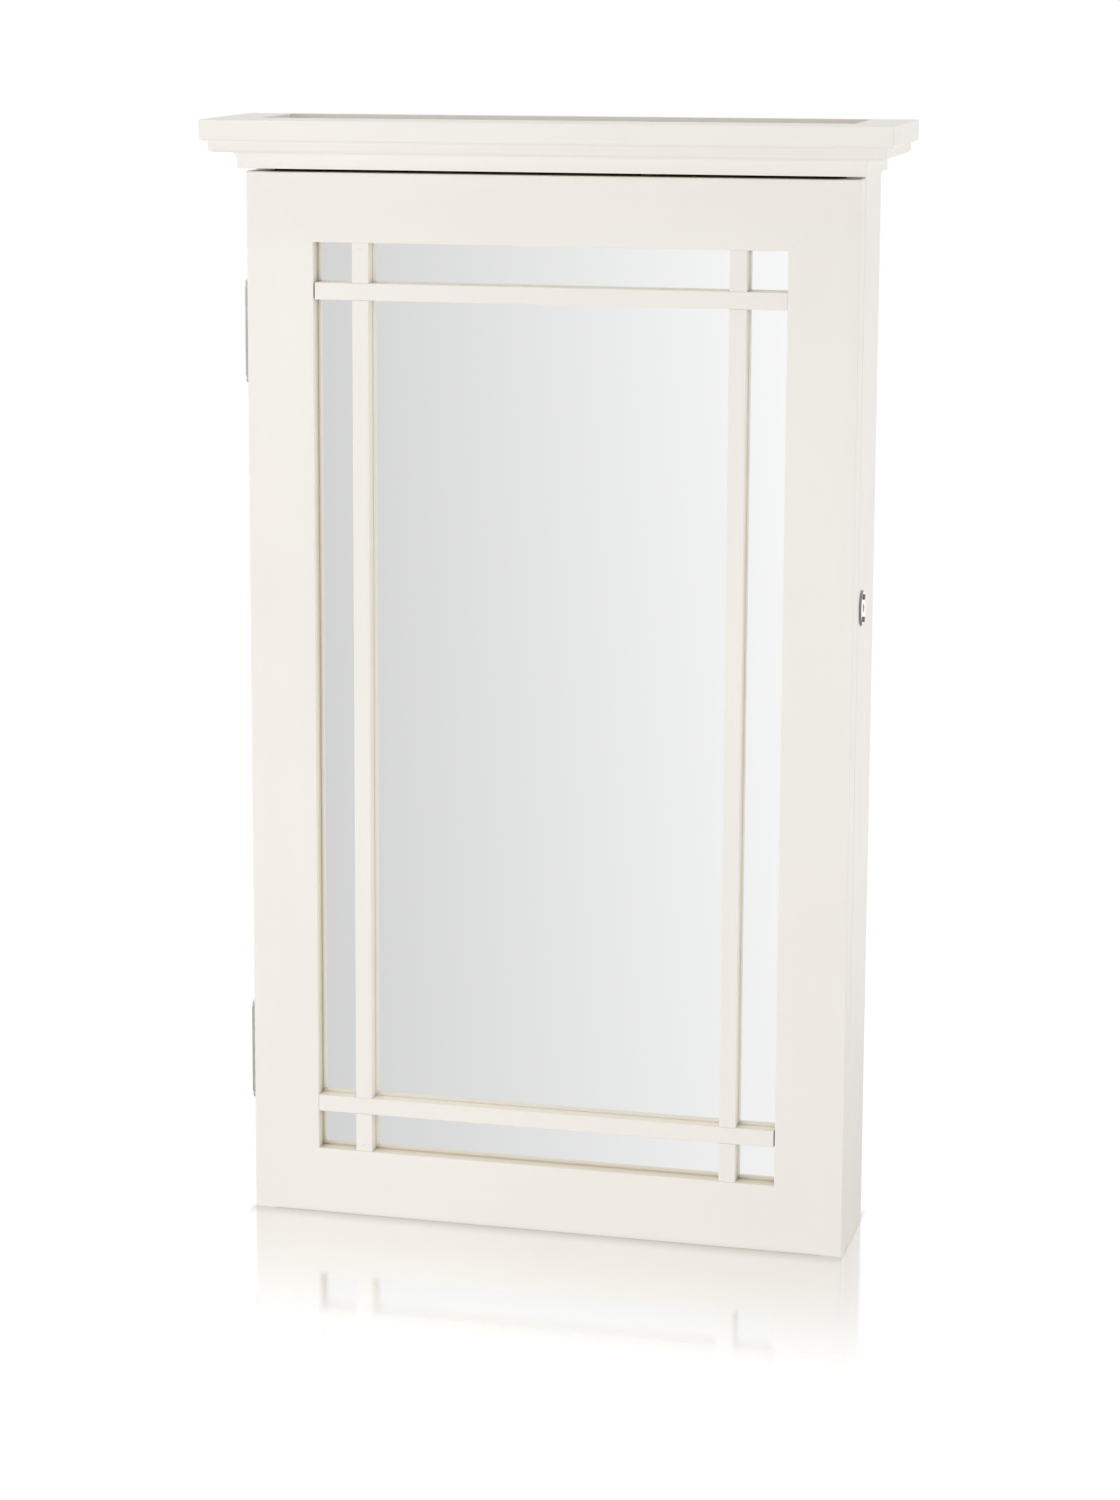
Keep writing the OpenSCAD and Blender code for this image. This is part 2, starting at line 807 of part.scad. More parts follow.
// Lock
module lock_body() {
  color("silver") difference() {
    upright([x_lock, y_lock - lock_front, lock_z - lock_h / 2],
      [x_side_in, y_lock + lock_back, lock_z + lock_h / 2]);
    at_lock(x_lock - cut) cylinder(h = lock_t + 2 * cut, r = hub_r + run_fit, $fn = round_fn);
    for (s = [-1, 1])
      translate([x_lock - cut, y_lock + lock_screw_y, lock_z + s * lock_screw_z]) rotate([0, 90, 0])
        cylinder(h = lock_t + 2 * cut, r = lock_screw_r + wood_fit, $fn = round_fn);
  }
}

module lock_screws() {
  color("silver") for (s = [-1, 1])
    translate([x_lock, y_lock + lock_screw_y, lock_z + s * lock_screw_z]) rotate([0, 90, 0])
      pan_screw(lock_screw_r, plate_head_r, plate_head_t, lock_t + lock_screw_len);
}

function oval(w, h) = [for (a = [0:9:351]) [w / 2 * cos(a), h / 2 * sin(a)]];

module keyhole_plate() {
  color("silver") difference() {
    at_lock(half_w) {
      linear_extrude(plate_base_t) polygon(oval(plate_w, plate_h));
      linear_extrude(plate_t) polygon(oval(plate_w - 2 * plate_edge, plate_h - 2 * plate_edge));
    }
    at_lock(half_w - cut) linear_extrude(plate_t + 2 * cut) key_shape();
    for (s = [-1, 1]) translate([half_w - cut, y_lock, lock_z + s * plate_screw_place]) rotate([0, 90, 0])
      cylinder(h = plate_t + 2 * cut, r = plate_screw_r + wood_fit, $fn = round_fn);
  }
}

module keyhole_plate_screws() {
  color("silver") for (s = [-1, 1])
    translate([half_w + plate_t, y_lock, lock_z + s * plate_screw_place]) rotate([0, -90, 0])
      pan_screw(plate_screw_r, plate_head_r, plate_head_t, plate_t + plate_screw_len);
}

module lock_hub() {
  color("dimgray") difference() {
    union() {
      at_lock(x_cam) cylinder(h = half_w - small_gap - x_cam, r = hub_r, $fn = round_fn);
      at_lock(x_side_in + collar_gap) cylinder(h = collar_t, r = collar_r, $fn = round_fn);
    }
    at_lock(half_w - key_deep) linear_extrude(key_deep + cut) key_shape();
    at_lock(x_cam - cut) cylinder(h = cam_screw_len + cut, r = cam_screw_r + wood_fit, $fn = round_fn);
  }
}

// A ring sector from angle a0 to a1 counted from +Z towards the door, in steps of 5 degrees
function sector(r0, r1, a0, a1) = concat(
  [for (a = [a0:5:a1]) [-r1 * sin(a), r1 * cos(a)]],
  [for (a = [a1:-5:a0]) [-r0 * sin(a), r0 * cos(a)]]);

module lock_cam() {
  color("silver") difference() {
    at_lock(x_cam - cam_t) linear_extrude(cam_t) {
      circle(r = cam_hub_r, $fn = round_fn);
      polygon(sector(cam_hub_r - cut, cam_r, spoke_from + unlocked, hook_from + unlocked));
      polygon(sector(hook_inner, cam_r, hook_from + unlocked, hook_to + unlocked));
    }
    at_lock(x_cam - cam_t - cut) cylinder(h = cam_t + 2 * cut, r = cam_screw_r + wood_fit, $fn = round_fn);
  }
}

module cam_screw() {
  color("silver") at_lock(x_cam - cam_t)
    pan_screw(cam_screw_r, cam_head_r, cam_head_t, cam_t + cam_screw_len - small_gap);
}

module keeper_holes() {
  for (s = [-1, 1])
    translate([x_keeper - keeper_base_w / 2, y_door_back + keeper_t, peg_z + s * keeper_screw_z])
      rotate([90, 0, 0]) children();
}

module lock_keeper() {
  color("silver") difference() {
    union() {
      block([x_keeper - keeper_base_w, y_door_back, peg_z - keeper_base_h / 2],
        [x_keeper, y_door_back + keeper_t, peg_z + keeper_base_h / 2]);
      block([x_keeper - keeper_t, y_door_back, peg_z - keeper_h / 2],
        [x_keeper, peg_y + 2 * peg_r, peg_z + keeper_h / 2]);
      translate([x_keeper - keeper_t, peg_y, peg_z]) rotate([0, 90, 0])
        cylinder(h = x_cam - x_keeper + keeper_t - small_gap, r = peg_r, $fn = round_fn);
    }
    keeper_holes() translate([0, 0, -cut])
      cylinder(h = keeper_t + 2 * cut, r = keeper_screw_r + wood_fit, $fn = round_fn);
  }
}

module keeper_screws() {
  color("silver") keeper_holes()
    pan_screw(keeper_screw_r, keeper_head_r, plate_head_t, keeper_t + keeper_screw_len);
}

// Door frame: one member along Z, its outer edge at X 0 and its front at Y 0, ends mitred
module frame_member(length) {
  rabbet = [[stile_w, mirror_setback], [stile_w - rabbet_w, mirror_setback], [stile_w - rabbet_w, door_t]];
  intersection() {
    translate([0, 0, -length / 2]) linear_extrude(length) polygon(concat(
      corner(ease_r, ease_r, ease_r, 180), corner(stile_w - inner_ease, inner_ease, inner_ease, 270),
      rabbet, corner(ease_r, door_t - ease_r, ease_r, 90)));
    translate([0, door_t + cut, 0]) rotate([90, 0, 0]) linear_extrude(door_t + 2 * cut) polygon([
      [0, -length / 2], [stile_w, stile_w - length / 2], [stile_w, length / 2 - stile_w], [0, length / 2]]);
  }
}

module hinge_stile() {
  color("ivory") difference() {
    translate([-half_w, y_door, 0]) frame_member(door_h);
    leaf_recess(y_door_back - leaf_t, y_door_back + cut);
    at_hinge_screws(y_door_back) rotate([90, 0, 0])
      sunk_hole(hinge_screw_r, hinge_head_r, hinge_screw_len);
  }
}

module lock_stile() {
  color("ivory") difference() {
    translate([half_w, y_door, 0]) mirror([1, 0, 0]) frame_member(door_h);
    keeper_holes() cylinder(h = keeper_t + keeper_screw_len, r = keeper_screw_r + wood_fit, $fn = round_fn);
  }
}

module top_rail() {
  color("ivory") translate([0, y_door, z_door]) rotate([0, 90, 0]) frame_member(case_w);
}

module bottom_rail() {
  color("ivory") mirror([0, 0, 1]) top_rail();
}

// Grille bars, half lapped where they cross, the level bars in front
module level_bar_space(z0) {
  block([-half_w, bar_y - cut, z0], [half_w, bar_mid, z0 + bar_w]);
}

module upright_bar(x0) {
  difference() {
    upright([x0, bar_y, -open_h / 2], [x0 + bar_w, y_glass, open_h / 2], inner_ease);
    level_bar_space(bar_z);
    level_bar_space(-bar_z - bar_w);
  }
}

module grille_bar_left() {
  color("ivory") upright_bar(-bar_x - bar_w);
}

module grille_bar_right() {
  color("ivory") upright_bar(bar_x);
}

module level_bar(x0, x1, z0) {
  difference() {
    level([x0, bar_y, z0], [x1, y_glass, z0 + bar_w], inner_ease);
    for (x = [-bar_x - bar_w, bar_x])
      block([x, bar_mid, z0 - cut], [x + bar_w, y_glass + cut, z0 + bar_w + cut]);
  }
}

module grille_bar_upper() {
  color("ivory") level_bar(-open_w / 2 + bar_end_gap, open_w / 2, bar_z);
}

module grille_bar_lower() {
  color("ivory") level_bar(-open_w / 2, open_w / 2 - bar_end_gap, -bar_z - bar_w);
}

// Mirror and what holds it
module mirror_node() {
  color("lightgray") block([-glass_w / 2, y_glass, -glass_h / 2], [glass_w / 2, y_backing, glass_h / 2]);
}

module mirror_backing() {
  color("tan") block([-glass_w / 2, y_backing, -glass_h / 2], [glass_w / 2, y_bead, glass_h / 2]);
}

module mirror_beads() {
  x1 = open_w / 2 + rabbet_w;
  z1 = open_h / 2 + rabbet_w;
  color("ivory") for (s = [0, 1]) {
    mirror([s, 0, 0]) block([x1 - bead_w, y_bead, -z1], [x1, y_door_back, z1]);
    mirror([0, 0, s])
      block([bead_w + bead_joint - x1, y_bead, z1 - bead_w], [x1 - bead_w - bead_joint, y_door_back, z1]);
  }
}

module door_lining() {
  x1 = open_w / 2 + rabbet_w + door_pad_lap;
  z1 = open_h / 2 + rabbet_w + door_pad_lap;
  color([0.11, 0.08, 0.07]) block([-x1, y_door_back, -z1], [x1, y_door_pad, z1]);
}

// Earring rack on the door's inside
function ear_z(i) = ear_top - ear_pitch * i;

module earring_posts() {
  color("ivory") for (s = [0, 1]) mirror([s, 0, 0])
    upright([ear_len / 2, y_door_pad, ear_z(ear_n - 1) - ear_end],
      [ear_len / 2 + ear_post_w, y_door_pad + ear_post_t, ear_z(0) + ear_rail_h + ear_end], inner_ease);
}

module earring_rail() {
  notch_n = floor((ear_len - 2 * notch_pitch) / notch_pitch);
  translate([0, ear_rail_t, 0]) rotate([90, 0, 0]) linear_extrude(ear_rail_t) difference() {
    translate([-ear_len / 2, 0]) square([ear_len, ear_rail_h]);
    for (i = [0:notch_n]) translate([(i - notch_n / 2) * notch_pitch - notch_w / 2, ear_rail_h - notch_deep])
      square([notch_w, notch_deep + cut]);
  }
}

module earring_rails() {
  color("ivory") for (i = [0:ear_n - 1]) translate([0, y_door_pad + ear_off, ear_z(i)]) earring_rail();
}

side_panel_left();
side_panel_right();
top_panel();
bottom_panel();
back_panel();
wall_rail_upper();
wall_rail_lower();
crown_front_moulding();
crown_left_moulding();
crown_right_moulding();
lining_back();
lining_left();
lining_right();
upright_partition();
long_shelf();
long_shelf_lip();
bottom_lip();
bottom_divider_left();
bottom_divider_right();
small_shelf_lower();
small_shelf_middle();
small_shelf_upper();
small_shelf_lips();
ring_rolls_middle();
ring_rolls_upper();
bracelet_bar();
bracelet_sockets();
necklace_hooks();
hinge_case_leaves();
hinge_pins();
hinge_case_screws();
catch_body();
catch_magnet();
buffers();
lock_body();
lock_screws();
keyhole_plate();
keyhole_plate_screws();
hinge_stile();
lock_stile();
top_rail();
bottom_rail();
grille_bar_left();
grille_bar_right();
grille_bar_upper();
grille_bar_lower();
mirror_node();  // mirror
mirror_backing();
mirror_beads();
door_lining();
hinge_door_leaves();
hinge_door_screws();
catch_strike();
lock_keeper();
keeper_screws();
earring_rails();
earring_posts();
lock_hub();
lock_cam();
cam_screw();
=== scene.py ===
import json
from math import cos, radians, sin

import bmesh
import bpy
import numpy as np
from bpy.props import FloatProperty, FloatVectorProperty, IntProperty, PointerProperty
from mathutils import Matrix, Vector

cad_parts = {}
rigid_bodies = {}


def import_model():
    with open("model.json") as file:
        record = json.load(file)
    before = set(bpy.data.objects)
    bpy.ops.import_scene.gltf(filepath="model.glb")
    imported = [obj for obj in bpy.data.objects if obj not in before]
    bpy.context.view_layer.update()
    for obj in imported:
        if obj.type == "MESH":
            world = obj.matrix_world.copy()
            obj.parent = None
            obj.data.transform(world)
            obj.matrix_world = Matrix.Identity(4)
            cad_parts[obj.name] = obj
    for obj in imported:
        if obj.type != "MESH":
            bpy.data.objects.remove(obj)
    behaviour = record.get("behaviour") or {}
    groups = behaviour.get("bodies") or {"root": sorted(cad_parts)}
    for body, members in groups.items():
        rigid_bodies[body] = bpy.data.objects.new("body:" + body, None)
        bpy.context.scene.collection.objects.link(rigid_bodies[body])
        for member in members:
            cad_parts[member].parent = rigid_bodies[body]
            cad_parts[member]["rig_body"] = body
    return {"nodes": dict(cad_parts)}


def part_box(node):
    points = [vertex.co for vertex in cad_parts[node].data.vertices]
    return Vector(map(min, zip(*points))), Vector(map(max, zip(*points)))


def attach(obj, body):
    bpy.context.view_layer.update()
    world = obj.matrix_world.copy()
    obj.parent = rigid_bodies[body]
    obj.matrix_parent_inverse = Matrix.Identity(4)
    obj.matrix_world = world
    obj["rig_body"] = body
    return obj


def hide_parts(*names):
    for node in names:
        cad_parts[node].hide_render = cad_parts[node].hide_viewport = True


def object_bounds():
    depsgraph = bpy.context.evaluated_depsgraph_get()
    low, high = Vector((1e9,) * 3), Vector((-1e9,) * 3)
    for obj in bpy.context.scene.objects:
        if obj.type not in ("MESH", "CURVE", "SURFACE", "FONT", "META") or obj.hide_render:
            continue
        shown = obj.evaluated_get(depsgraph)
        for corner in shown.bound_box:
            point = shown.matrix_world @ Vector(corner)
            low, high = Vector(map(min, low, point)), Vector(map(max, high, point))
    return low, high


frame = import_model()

bl_info = {
    "name": "Jewelry Armoire",
    "version": (1, 0, 0),
    "blender": (4, 5, 0),
    "location": "View3D > Sidebar > Armoire",
    "description": "Gives a wall-mounted jewelry armoire its painted, velvet, glass and metal finish",
    "category": "Object",
}

CAD_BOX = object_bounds()
NODES = frame["nodes"]
MM = 0.001
MERGE = 0.002 * MM
NEAR_PLANE = 0.02 * MM
FLAT_ANGLE = radians(0.5)
CAD_SHARP = 40.0
ARC_STEPS = 6
QUARTER = np.linspace(0.0, np.pi / 2, ARC_STEPS + 1)
TURN_STEPS = 40
CLOTH_PRESSURE, CLOTH_STEPS, CLOTH_FRAMES = 4.0, 4, 20
WAVES = ((41.0, 1.1, 29.0, 0.0), (17.0, 0.0, 67.0, 0.7))
ALONG = {"x": (0.09, 1.0, 1.0), "y": (1.0, 0.09, 1.0), "z": (1.0, 1.0, 0.09)}
WHITE = (1.0, 1.0, 1.0, 1.0)


def tint(name, description, default):
    """A colour that a user may change, in linear light."""
    return FloatVectorProperty(name=name, description=description, default=default,
                               subtype="COLOR", size=3, min=0.0, max=1.0)


def length(name, description, default):
    """A length in metres."""
    return FloatProperty(name=name, description=description, default=default,
                         unit="LENGTH", subtype="DISTANCE", precision=5, min=0.0)


def position(name, description, default):
    """A place along an axis, in metres."""
    return FloatProperty(name=name, description=description, default=default,
                         unit="LENGTH", subtype="DISTANCE", precision=5)


def angle(name, description, default):
    """An angle, given in degrees and kept in radians."""
    return FloatProperty(name=name, description=description, default=radians(default), subtype="ANGLE")


def amount(name, description, default):
    """A plain number."""
    return FloatProperty(name=name, description=description, default=default, precision=3)


class ArmoireColours(bpy.types.PropertyGroup):
    """Colours of the armoire's finishes, and the light that its mirror casts."""

    paint: tint("Paint", "Satin ivory paint of the woodwork", (0.875, 0.843, 0.796))
    board: tint("Back board", "Thin paint on the back panel", (0.80, 0.765, 0.705))
    stain: tint("Stain", "Dark stain of the wall rails", (0.030, 0.019, 0.014))
    velvet: tint("Velvet", "Velvet of the linings and ring rolls", (0.030, 0.019, 0.016))
    nickel: tint("Nickel", "Satin nickel of the metal fittings", (0.70, 0.69, 0.66))
    bright: tint("Bright nickel", "Polished nickel of the keyhole plate", (0.93, 0.915, 0.89))
    aged: tint("Aged nickel", "Darkened nickel of the keyhole plate's screws", (0.20, 0.165, 0.16))
    steel: tint("Steel", "Oiled steel of the lock's hub", (0.06, 0.055, 0.052))
    magnet: tint("Magnet", "Sintered magnet of the catch", (0.12, 0.12, 0.13))
    plastic: tint("Plastic", "Moulded body of the catch", (0.80, 0.80, 0.77))
    rubber: tint("Rubber", "Clear soft buffers", (0.78, 0.78, 0.74))
    mirror: tint("Mirror", "Silvered glass", (0.930, 0.935, 0.935))
    # The mirror's cast is painted light: a warm glow that diffuse rays see on the glass, which brightens
    # and warms the frame beside it.
    mirror_cast: tint("Mirror cast", "Light that the mirror casts on the frame", (1.0, 0.94, 0.76))
    mirror_glow: amount("Mirror glow", "Strength of the light that the mirror casts", 0.12)
    hardboard: tint("Hardboard", "Board behind the mirror", (0.24, 0.14, 0.075))


class ArmoireSizes(bpy.types.PropertyGroup):
    """Sizes of the details that finish the pieces."""

    wood_ease: length("Wood easing", "Radius of the wood's sharp edges", 0.35 * MM)
    door_round: length("Door round", "Radius of the door's outer front edges", 1.2 * MM)
    door_ease: length("Door easing", "Radius of the door frame's and grille's sharp edges", 0.15 * MM)
    rack_ease: length("Rack easing", "Radius of the earring rails' sharp edges", 0.2 * MM)
    glass_ease: length("Glass easing", "Radius of the mirror's ground edges", 0.35 * MM)
    metal_ease: length("Metal easing", "Radius of the metal's sharp edges", 0.12 * MM)
    plate_ease: length("Plate easing", "Radius of the keyhole plate's sharp edges", 0.22 * MM)
    lock_ease: length("Lock easing", "Radius of the lock body's sharp edges", 0.3 * MM)
    catch_ease: length("Catch easing", "Radius of the catch body's sharp edges", 0.6 * MM)
    magnet_ease: length("Magnet easing", "Radius of the magnet's sharp edges", 0.2 * MM)
    side_velvet_ease: length("Side velvet easing", "Radius of the side linings' edges", 0.55 * MM)
    velvet_wrap: length("Velvet wrap", "Radius where the velvet turns over a board's edge", 0.9 * MM)
    velvet_wave: length("Velvet waves", "Depth of the velvet's slack waves", 0.15 * MM)
    fascia_h: length("Fascia height", "Height of the crown's flat band", 12.6 * MM)
    fascia_r: length("Fascia round", "Radius under the crown's flat band", 1.9 * MM)
    fascia_step: length("Fascia step", "Step in to the crown's middle band", 4.3 * MM)
    band_h: length("Band height", "Height of the crown's middle band", 7.1 * MM)
    band_r: length("Band round", "Radius under the crown's middle band", 3.2 * MM)
    band_setback: length("Band setback", "Setback of the middle band's underside", 15.0 * MM)
    cove_h: length("Cove height", "Height of the crown's hollow", 6.3 * MM)
    cove_w: length("Cove width", "Width of the crown's hollow", 3.4 * MM)
    fillet_h: length("Fillet height", "Height of the crown's lowest flat", 4.0 * MM)
    crown_top_r: length("Crown top round", "Radius of the crown's top edge", 0.8 * MM)
    roll_r: length("Roll radius", "Radius of a ring roll before it swells", 4.85 * MM)
    roll_end: length("Roll end", "Radius of a ring roll's ends", 2.6 * MM)
    roll_swell: length("Roll swell", "How far a ring roll may swell", 0.33 * MM)
    roll_voxel: length("Roll voxel", "Mesh size of a ring roll's simulated cloth", 0.8 * MM)
    hook_bend: length("Hook bend", "Inner radius of a necklace hook", 5.5 * MM)
    hook_r: length("Hook wire", "Radius of a necklace hook's wire", 1.3 * MM)
    hook_neck: length("Hook neck", "Radius between a hook's shank and its bend", 2.2 * MM)
    hook_ball: length("Hook ball", "Radius of the ball at a hook's tip", 1.7 * MM)
    hook_turn: angle("Hook turn", "How far a hook's bend goes on past level", 210.0)
    hook_flange: length("Hook flange", "Radius of the flange against the rail", 4.0 * MM)
    hinge_len: length("Hinge length", "Height of a hinge's knuckles", 56.0 * MM)
    pin_r: length("Hinge pin", "Radius of a hinge's pin", 1.5 * MM)
    nail_inset: length("Nail inset", "From the left bar's ends to its filled nail holes", 4.0 * MM)
    # The radius of the disc round the keyhole where the plate's colour is darkened.
    keyhole_dark_radius: length("Keyhole darkening", "Radius of the darkened disc round the keyhole", 2.7 * MM)
    hook_count: IntProperty(name="Hooks", description="Number of necklace hooks", default=8, min=1)
    roll_count: IntProperty(name="Rolls", description="Ring rolls on one shelf", default=3, min=1)


class ArmoireStage(bpy.types.PropertyGroup):
    """The camera, the lamps and the floor."""

    azimuth: angle("Azimuth", "Camera's turn to the object's right", 15.28)
    elevation: angle("Elevation", "Camera's height over the object", 10.22)
    roll: angle("Roll", "Camera's turn about its own axis", -0.061)
    distance: length("Distance", "From the camera to its target", 2.357)
    target_x: position("Target X", "Point that the camera turns about", -0.0790)
    target_y: position("Target Y", "Point that the camera turns about", -0.0390)
    target_z: position("Target Z", "Point that the camera turns about", 0.0399)
    lens: amount("Lens", "Focal length in millimetres on a 36 mm sensor", 90.31)
    shift_x: amount("Shift X", "Sideways shift of the view", 0.082)
    shift_y: amount("Shift Y", "Upward shift of the view", -0.076)
    sky: amount("Sky", "Strength of the light from all round", 0.50)
    key: amount("Key", "Power of the large lamp at the front left, in watts", 33.2)
    fill: amount("Fill", "Power of the lamp at the right, in watts", 16.3)
    top: amount("Top", "Power of the lamp overhead, in watts", 14.0)
    floor: tint("Floor", "Polished white floor", (0.90, 0.90, 0.90))
    floor_half: length("Floor half", "Half the floor's width", 30.0)
    floor_rise: length("Floor rise", "How far the floor stands over the case's lowest edge", 0.5 * MM)
    front_tone: amount("Front tone", "Tone that glossy surfaces show of the room before the case", 0.88)
    floor_lift: amount("Floor lift", "Light that the camera sees added to the floor", 0.90)
    polish: amount("Polish", "How much the floor mirrors beside the object", 1.0)
    polish_rough: amount("Polish roughness", "Roughness of the floor's polish", 0.10)
    polish_reach: length("Polish reach", "Distance over which the floor's polish fades", 0.30)
    shade_reach: length("Shade reach", "Distance over which the floor turns plain white", 1.2)
    contact: amount("Contact shade", "How much darker the floor is where the door meets it", 0.22)
    contact_reach: length("Contact reach", "Distance over which the contact shade fades", 18 * MM)
    contact_tone: tint("Contact tone", "Brown of the contact shade", (0.12, 0.08, 0.05))
    sweep: FloatVectorProperty(
        name="Sweep", size=4, default=(0.834, 0.955, 0.064, 0.32),
        description="Tone that the floor shows in the mirror: level, and its rise to the right, upwards "
                    "and in that corner")


def low_high(node):
    """A CAD node's box as two arrays."""
    return [np.array(corner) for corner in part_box(node)]


def arc(cx, cy, rx, ry, start, stop, steps=ARC_STEPS):
    """Points of an ellipse's arc in degrees: (cx + rx cos t, cy + ry sin t)."""
    t = np.radians(np.linspace(start, stop, steps + 1))
    return np.stack([cx + rx * np.cos(t), cy + ry * np.sin(t)], -1)


def loft(rings, caps=None):
    """A closed skin over rings of corners: corner k of ring r joins corners k and k+1 of ring r+1.

    caps lists the groups of corners that close each end, the whole ring if it isn't given."""
    rows, count = rings.shape[:2]
    row, corner = np.meshgrid(np.arange(rows - 1), np.arange(count), indexing="ij")
    a, b = row * count + corner, row * count + (corner + 1) % count
    quads = np.stack([a, b, b + count, a + count], -1).reshape(-1, 4).tolist()
    groups = [list(range(count))] if caps is None else caps
    last = (rows - 1) * count
    ends = groups + [[last + k for k in group] for group in groups]
    return rings.reshape(-1, 3), quads + ends


def eased_block(low, high, r, axis=2):
    """A box with rounded edges: over the corner at c - r goes r (cos a cos t, cos a sin t, sin a)."""
    middle, half = (low + high) / 2, (high - low) / 2
    across, up = (axis + 1) % 3, (axis + 2) % 3
    rise = np.concatenate([-QUARTER[::-1], QUARTER])[:, None]
    end = np.repeat([-1.0, 1.0], len(QUARTER))[:, None]
    t = np.concatenate([QUARTER + q * np.pi / 2 for q in range(4)])
    side_a = np.repeat([1.0, -1.0, -1.0, 1.0], len(QUARTER))
    side_b = np.repeat([1.0, 1.0, -1.0, -1.0], len(QUARTER))
    points = np.empty((len(rise), len(t), 3))
    points[..., across] = middle[across] + side_a * (half[across] - r) + r * np.cos(rise) * np.cos(t)
    points[..., up] = middle[up] + side_b * (half[up] - r) + r * np.cos(rise) * np.sin(t)
    points[..., axis] = middle[axis] + end * (half[axis] - r) + r * np.sin(rise)
    return loft(points)


def turned(profile, at, axis, steps=TURN_STEPS):
    """A profile of (radius, distance) turned about an axis: at + d axis + r (cos t u + sin t v)."""
    axis = np.array(axis, float)
    u = np.cross(axis, [0.0, 0.0, 1.0] if abs(axis[2]) < 0.5 else [1.0, 0.0, 0.0])
    v = np.cross(axis, u)
    t = np.linspace(0.0, 2 * np.pi, steps, endpoint=False)[None, :, None]
    r, d = np.array(profile)[:, 0, None, None], np.array(profile)[:, 1, None, None]
    return loft(np.array(at) + d * axis + r * (np.cos(t) * u + np.sin(t) * v))


def wire(path, radius, side, steps=16):
    """A round wire along a flat path: p + r (cos t n + sin t side), n square to the path and to side."""
    run = np.gradient(path, axis=0)
    run /= np.linalg.norm(run, axis=1, keepdims=True)
    t = np.linspace(0.0, 2 * np.pi, steps, endpoint=False)[None, :, None]
    normal = np.cross(run, side)[:, None, :]
    ring = np.cos(t) * normal + np.sin(t) * np.array(side, float)
    return loft(path[:, None, :] + np.asarray(radius)[:, None, None] * ring)


def spread(size, r, step):
    """Places across a panel from 0 to size: close together over the round edge, then step apart."""
    edge = r * (1 - np.cos(QUARTER))
    inner = np.linspace(r, size - r, max(2, int((size - 2 * r) / step) + 1))
    return np.concatenate([edge[:-1], inner, size - edge[:-1][::-1]])


def velvet_panel(low, high, axis, front, r, wave, step=6 * MM):
    """Velvet over a board: depth(u, v) = e(u) e(v) (t - w (2 + sum of sin(a u + b) sin(c v + d)) / 4).

    e is a quarter round over each edge, and WAVES holds a, b, c and d. front is -1 or 1, the way the
    pile faces along axis. The back is flat."""
    across, up = (axis + 1) % 3, (axis + 2) % 3
    size = high - low
    u, v = spread(size[across], r, step), spread(size[up], r, step)

    def edge(s, whole):
        reach = np.clip(1 - np.minimum(s, whole - s) / r, 0.0, 1.0)
        return np.sqrt(1 - reach ** 2)

    eu, ev = edge(u, size[across])[:, None], edge(v, size[up])[None, :]
    waves = [np.sin(a * u + b)[:, None] * np.sin(c * v + d)[None, :] for a, b, c, d in WAVES]
    depth = eu * ev * (size[axis] - wave * (2 + sum(waves)) / 4)
    flat = low[axis] if front > 0 else high[axis]
    grids = []
    for height in (depth, np.zeros_like(depth)):
        grid = np.empty(depth.shape + (3,))
        grid[..., across] = low[across] + u[:, None]
        grid[..., up] = low[up] + v[None, :]
        grid[..., axis] = flat + front * height
        grids.append(grid.reshape(-1, 3))
    i, j = np.meshgrid(np.arange(len(u) - 1), np.arange(len(v) - 1), indexing="ij")
    a = i * len(v) + j
    quads = np.stack([a, a + len(v), a + len(v) + 1, a + 1], -1).reshape(-1, 4)
    return np.concatenate(grids), np.concatenate([quads, quads[:, ::-1] + depth.size]).tolist()


def roll_skin(start, stop, y, z, r, end):
    """A padded roll along X: circles of radius r - end (1 - sqrt(1 - s s)), s going 0 to 1 over an end."""
    x = np.concatenate([start + end * (1 - np.cos(QUARTER)), stop - end * (1 - np.cos(QUARTER[::-1]))])
    shrink = 1 - np.sin(np.concatenate([QUARTER, QUARTER[::-1]]))
    profile = np.stack([np.maximum(r - end * shrink, 0.0), x], -1)
    profile = np.concatenate([[[0.0, start]], profile, [[0.0, stop]]])
    return turned(profile, (0.0, y, z), (1.0, 0.0, 0.0), 28)


def piece(name, shells, material, *nodes, sharp=35.0, ease=0.0):
    """One mesh piece from shells of (points, faces). It stands for CAD nodes and rides on their body."""
    points, faces, first = [], [], 0
    for shell_points, shell_faces in shells:
        points.append(shell_points)
        faces += [[first + k for k in face] for face in shell_faces]
        first += len(shell_points)
    mesh = bpy.data.meshes.new(name)
    mesh.from_pydata(np.concatenate(points).tolist(), [], faces)
    return finish(name, mesh, material, nodes, sharp, ease)


def refined(node, material, ease, rim=None):
    """A copy of a CAD node with its triangles joined into faces and its sharp edges eased."""
    return finish("fine_" + node, NODES[node].data.copy(), material, (node,), CAD_SHARP, ease, rim)


def weigh_rim(mesh, share, rim):
    """Weighs a mesh's edges for the bevel: share if sharp, 1 if also on two sides of the rim box."""
    ends = np.empty(len(mesh.edges) * 2, np.int32)
    mesh.edges.foreach_get("vertices", ends)
    points = np.empty(len(mesh.vertices) * 3)
    mesh.vertices.foreach_get("co", points)
    points = np.abs(points.reshape(-1, 3)[ends.reshape(-1, 2)])
    on_side = (np.abs(points - np.asarray(rim)) < NEAR_PLANE).all(axis=1)
    sharp = np.empty(len(mesh.edges), bool)
    mesh.attributes["sharp_edge"].data.foreach_get("value", sharp)
    weight = np.where(on_side.sum(axis=1) > 1, 1.0, share) * sharp
    mesh.attributes.new("bevel_weight_edge", "FLOAT", "EDGE").data.foreach_set("value", weight)


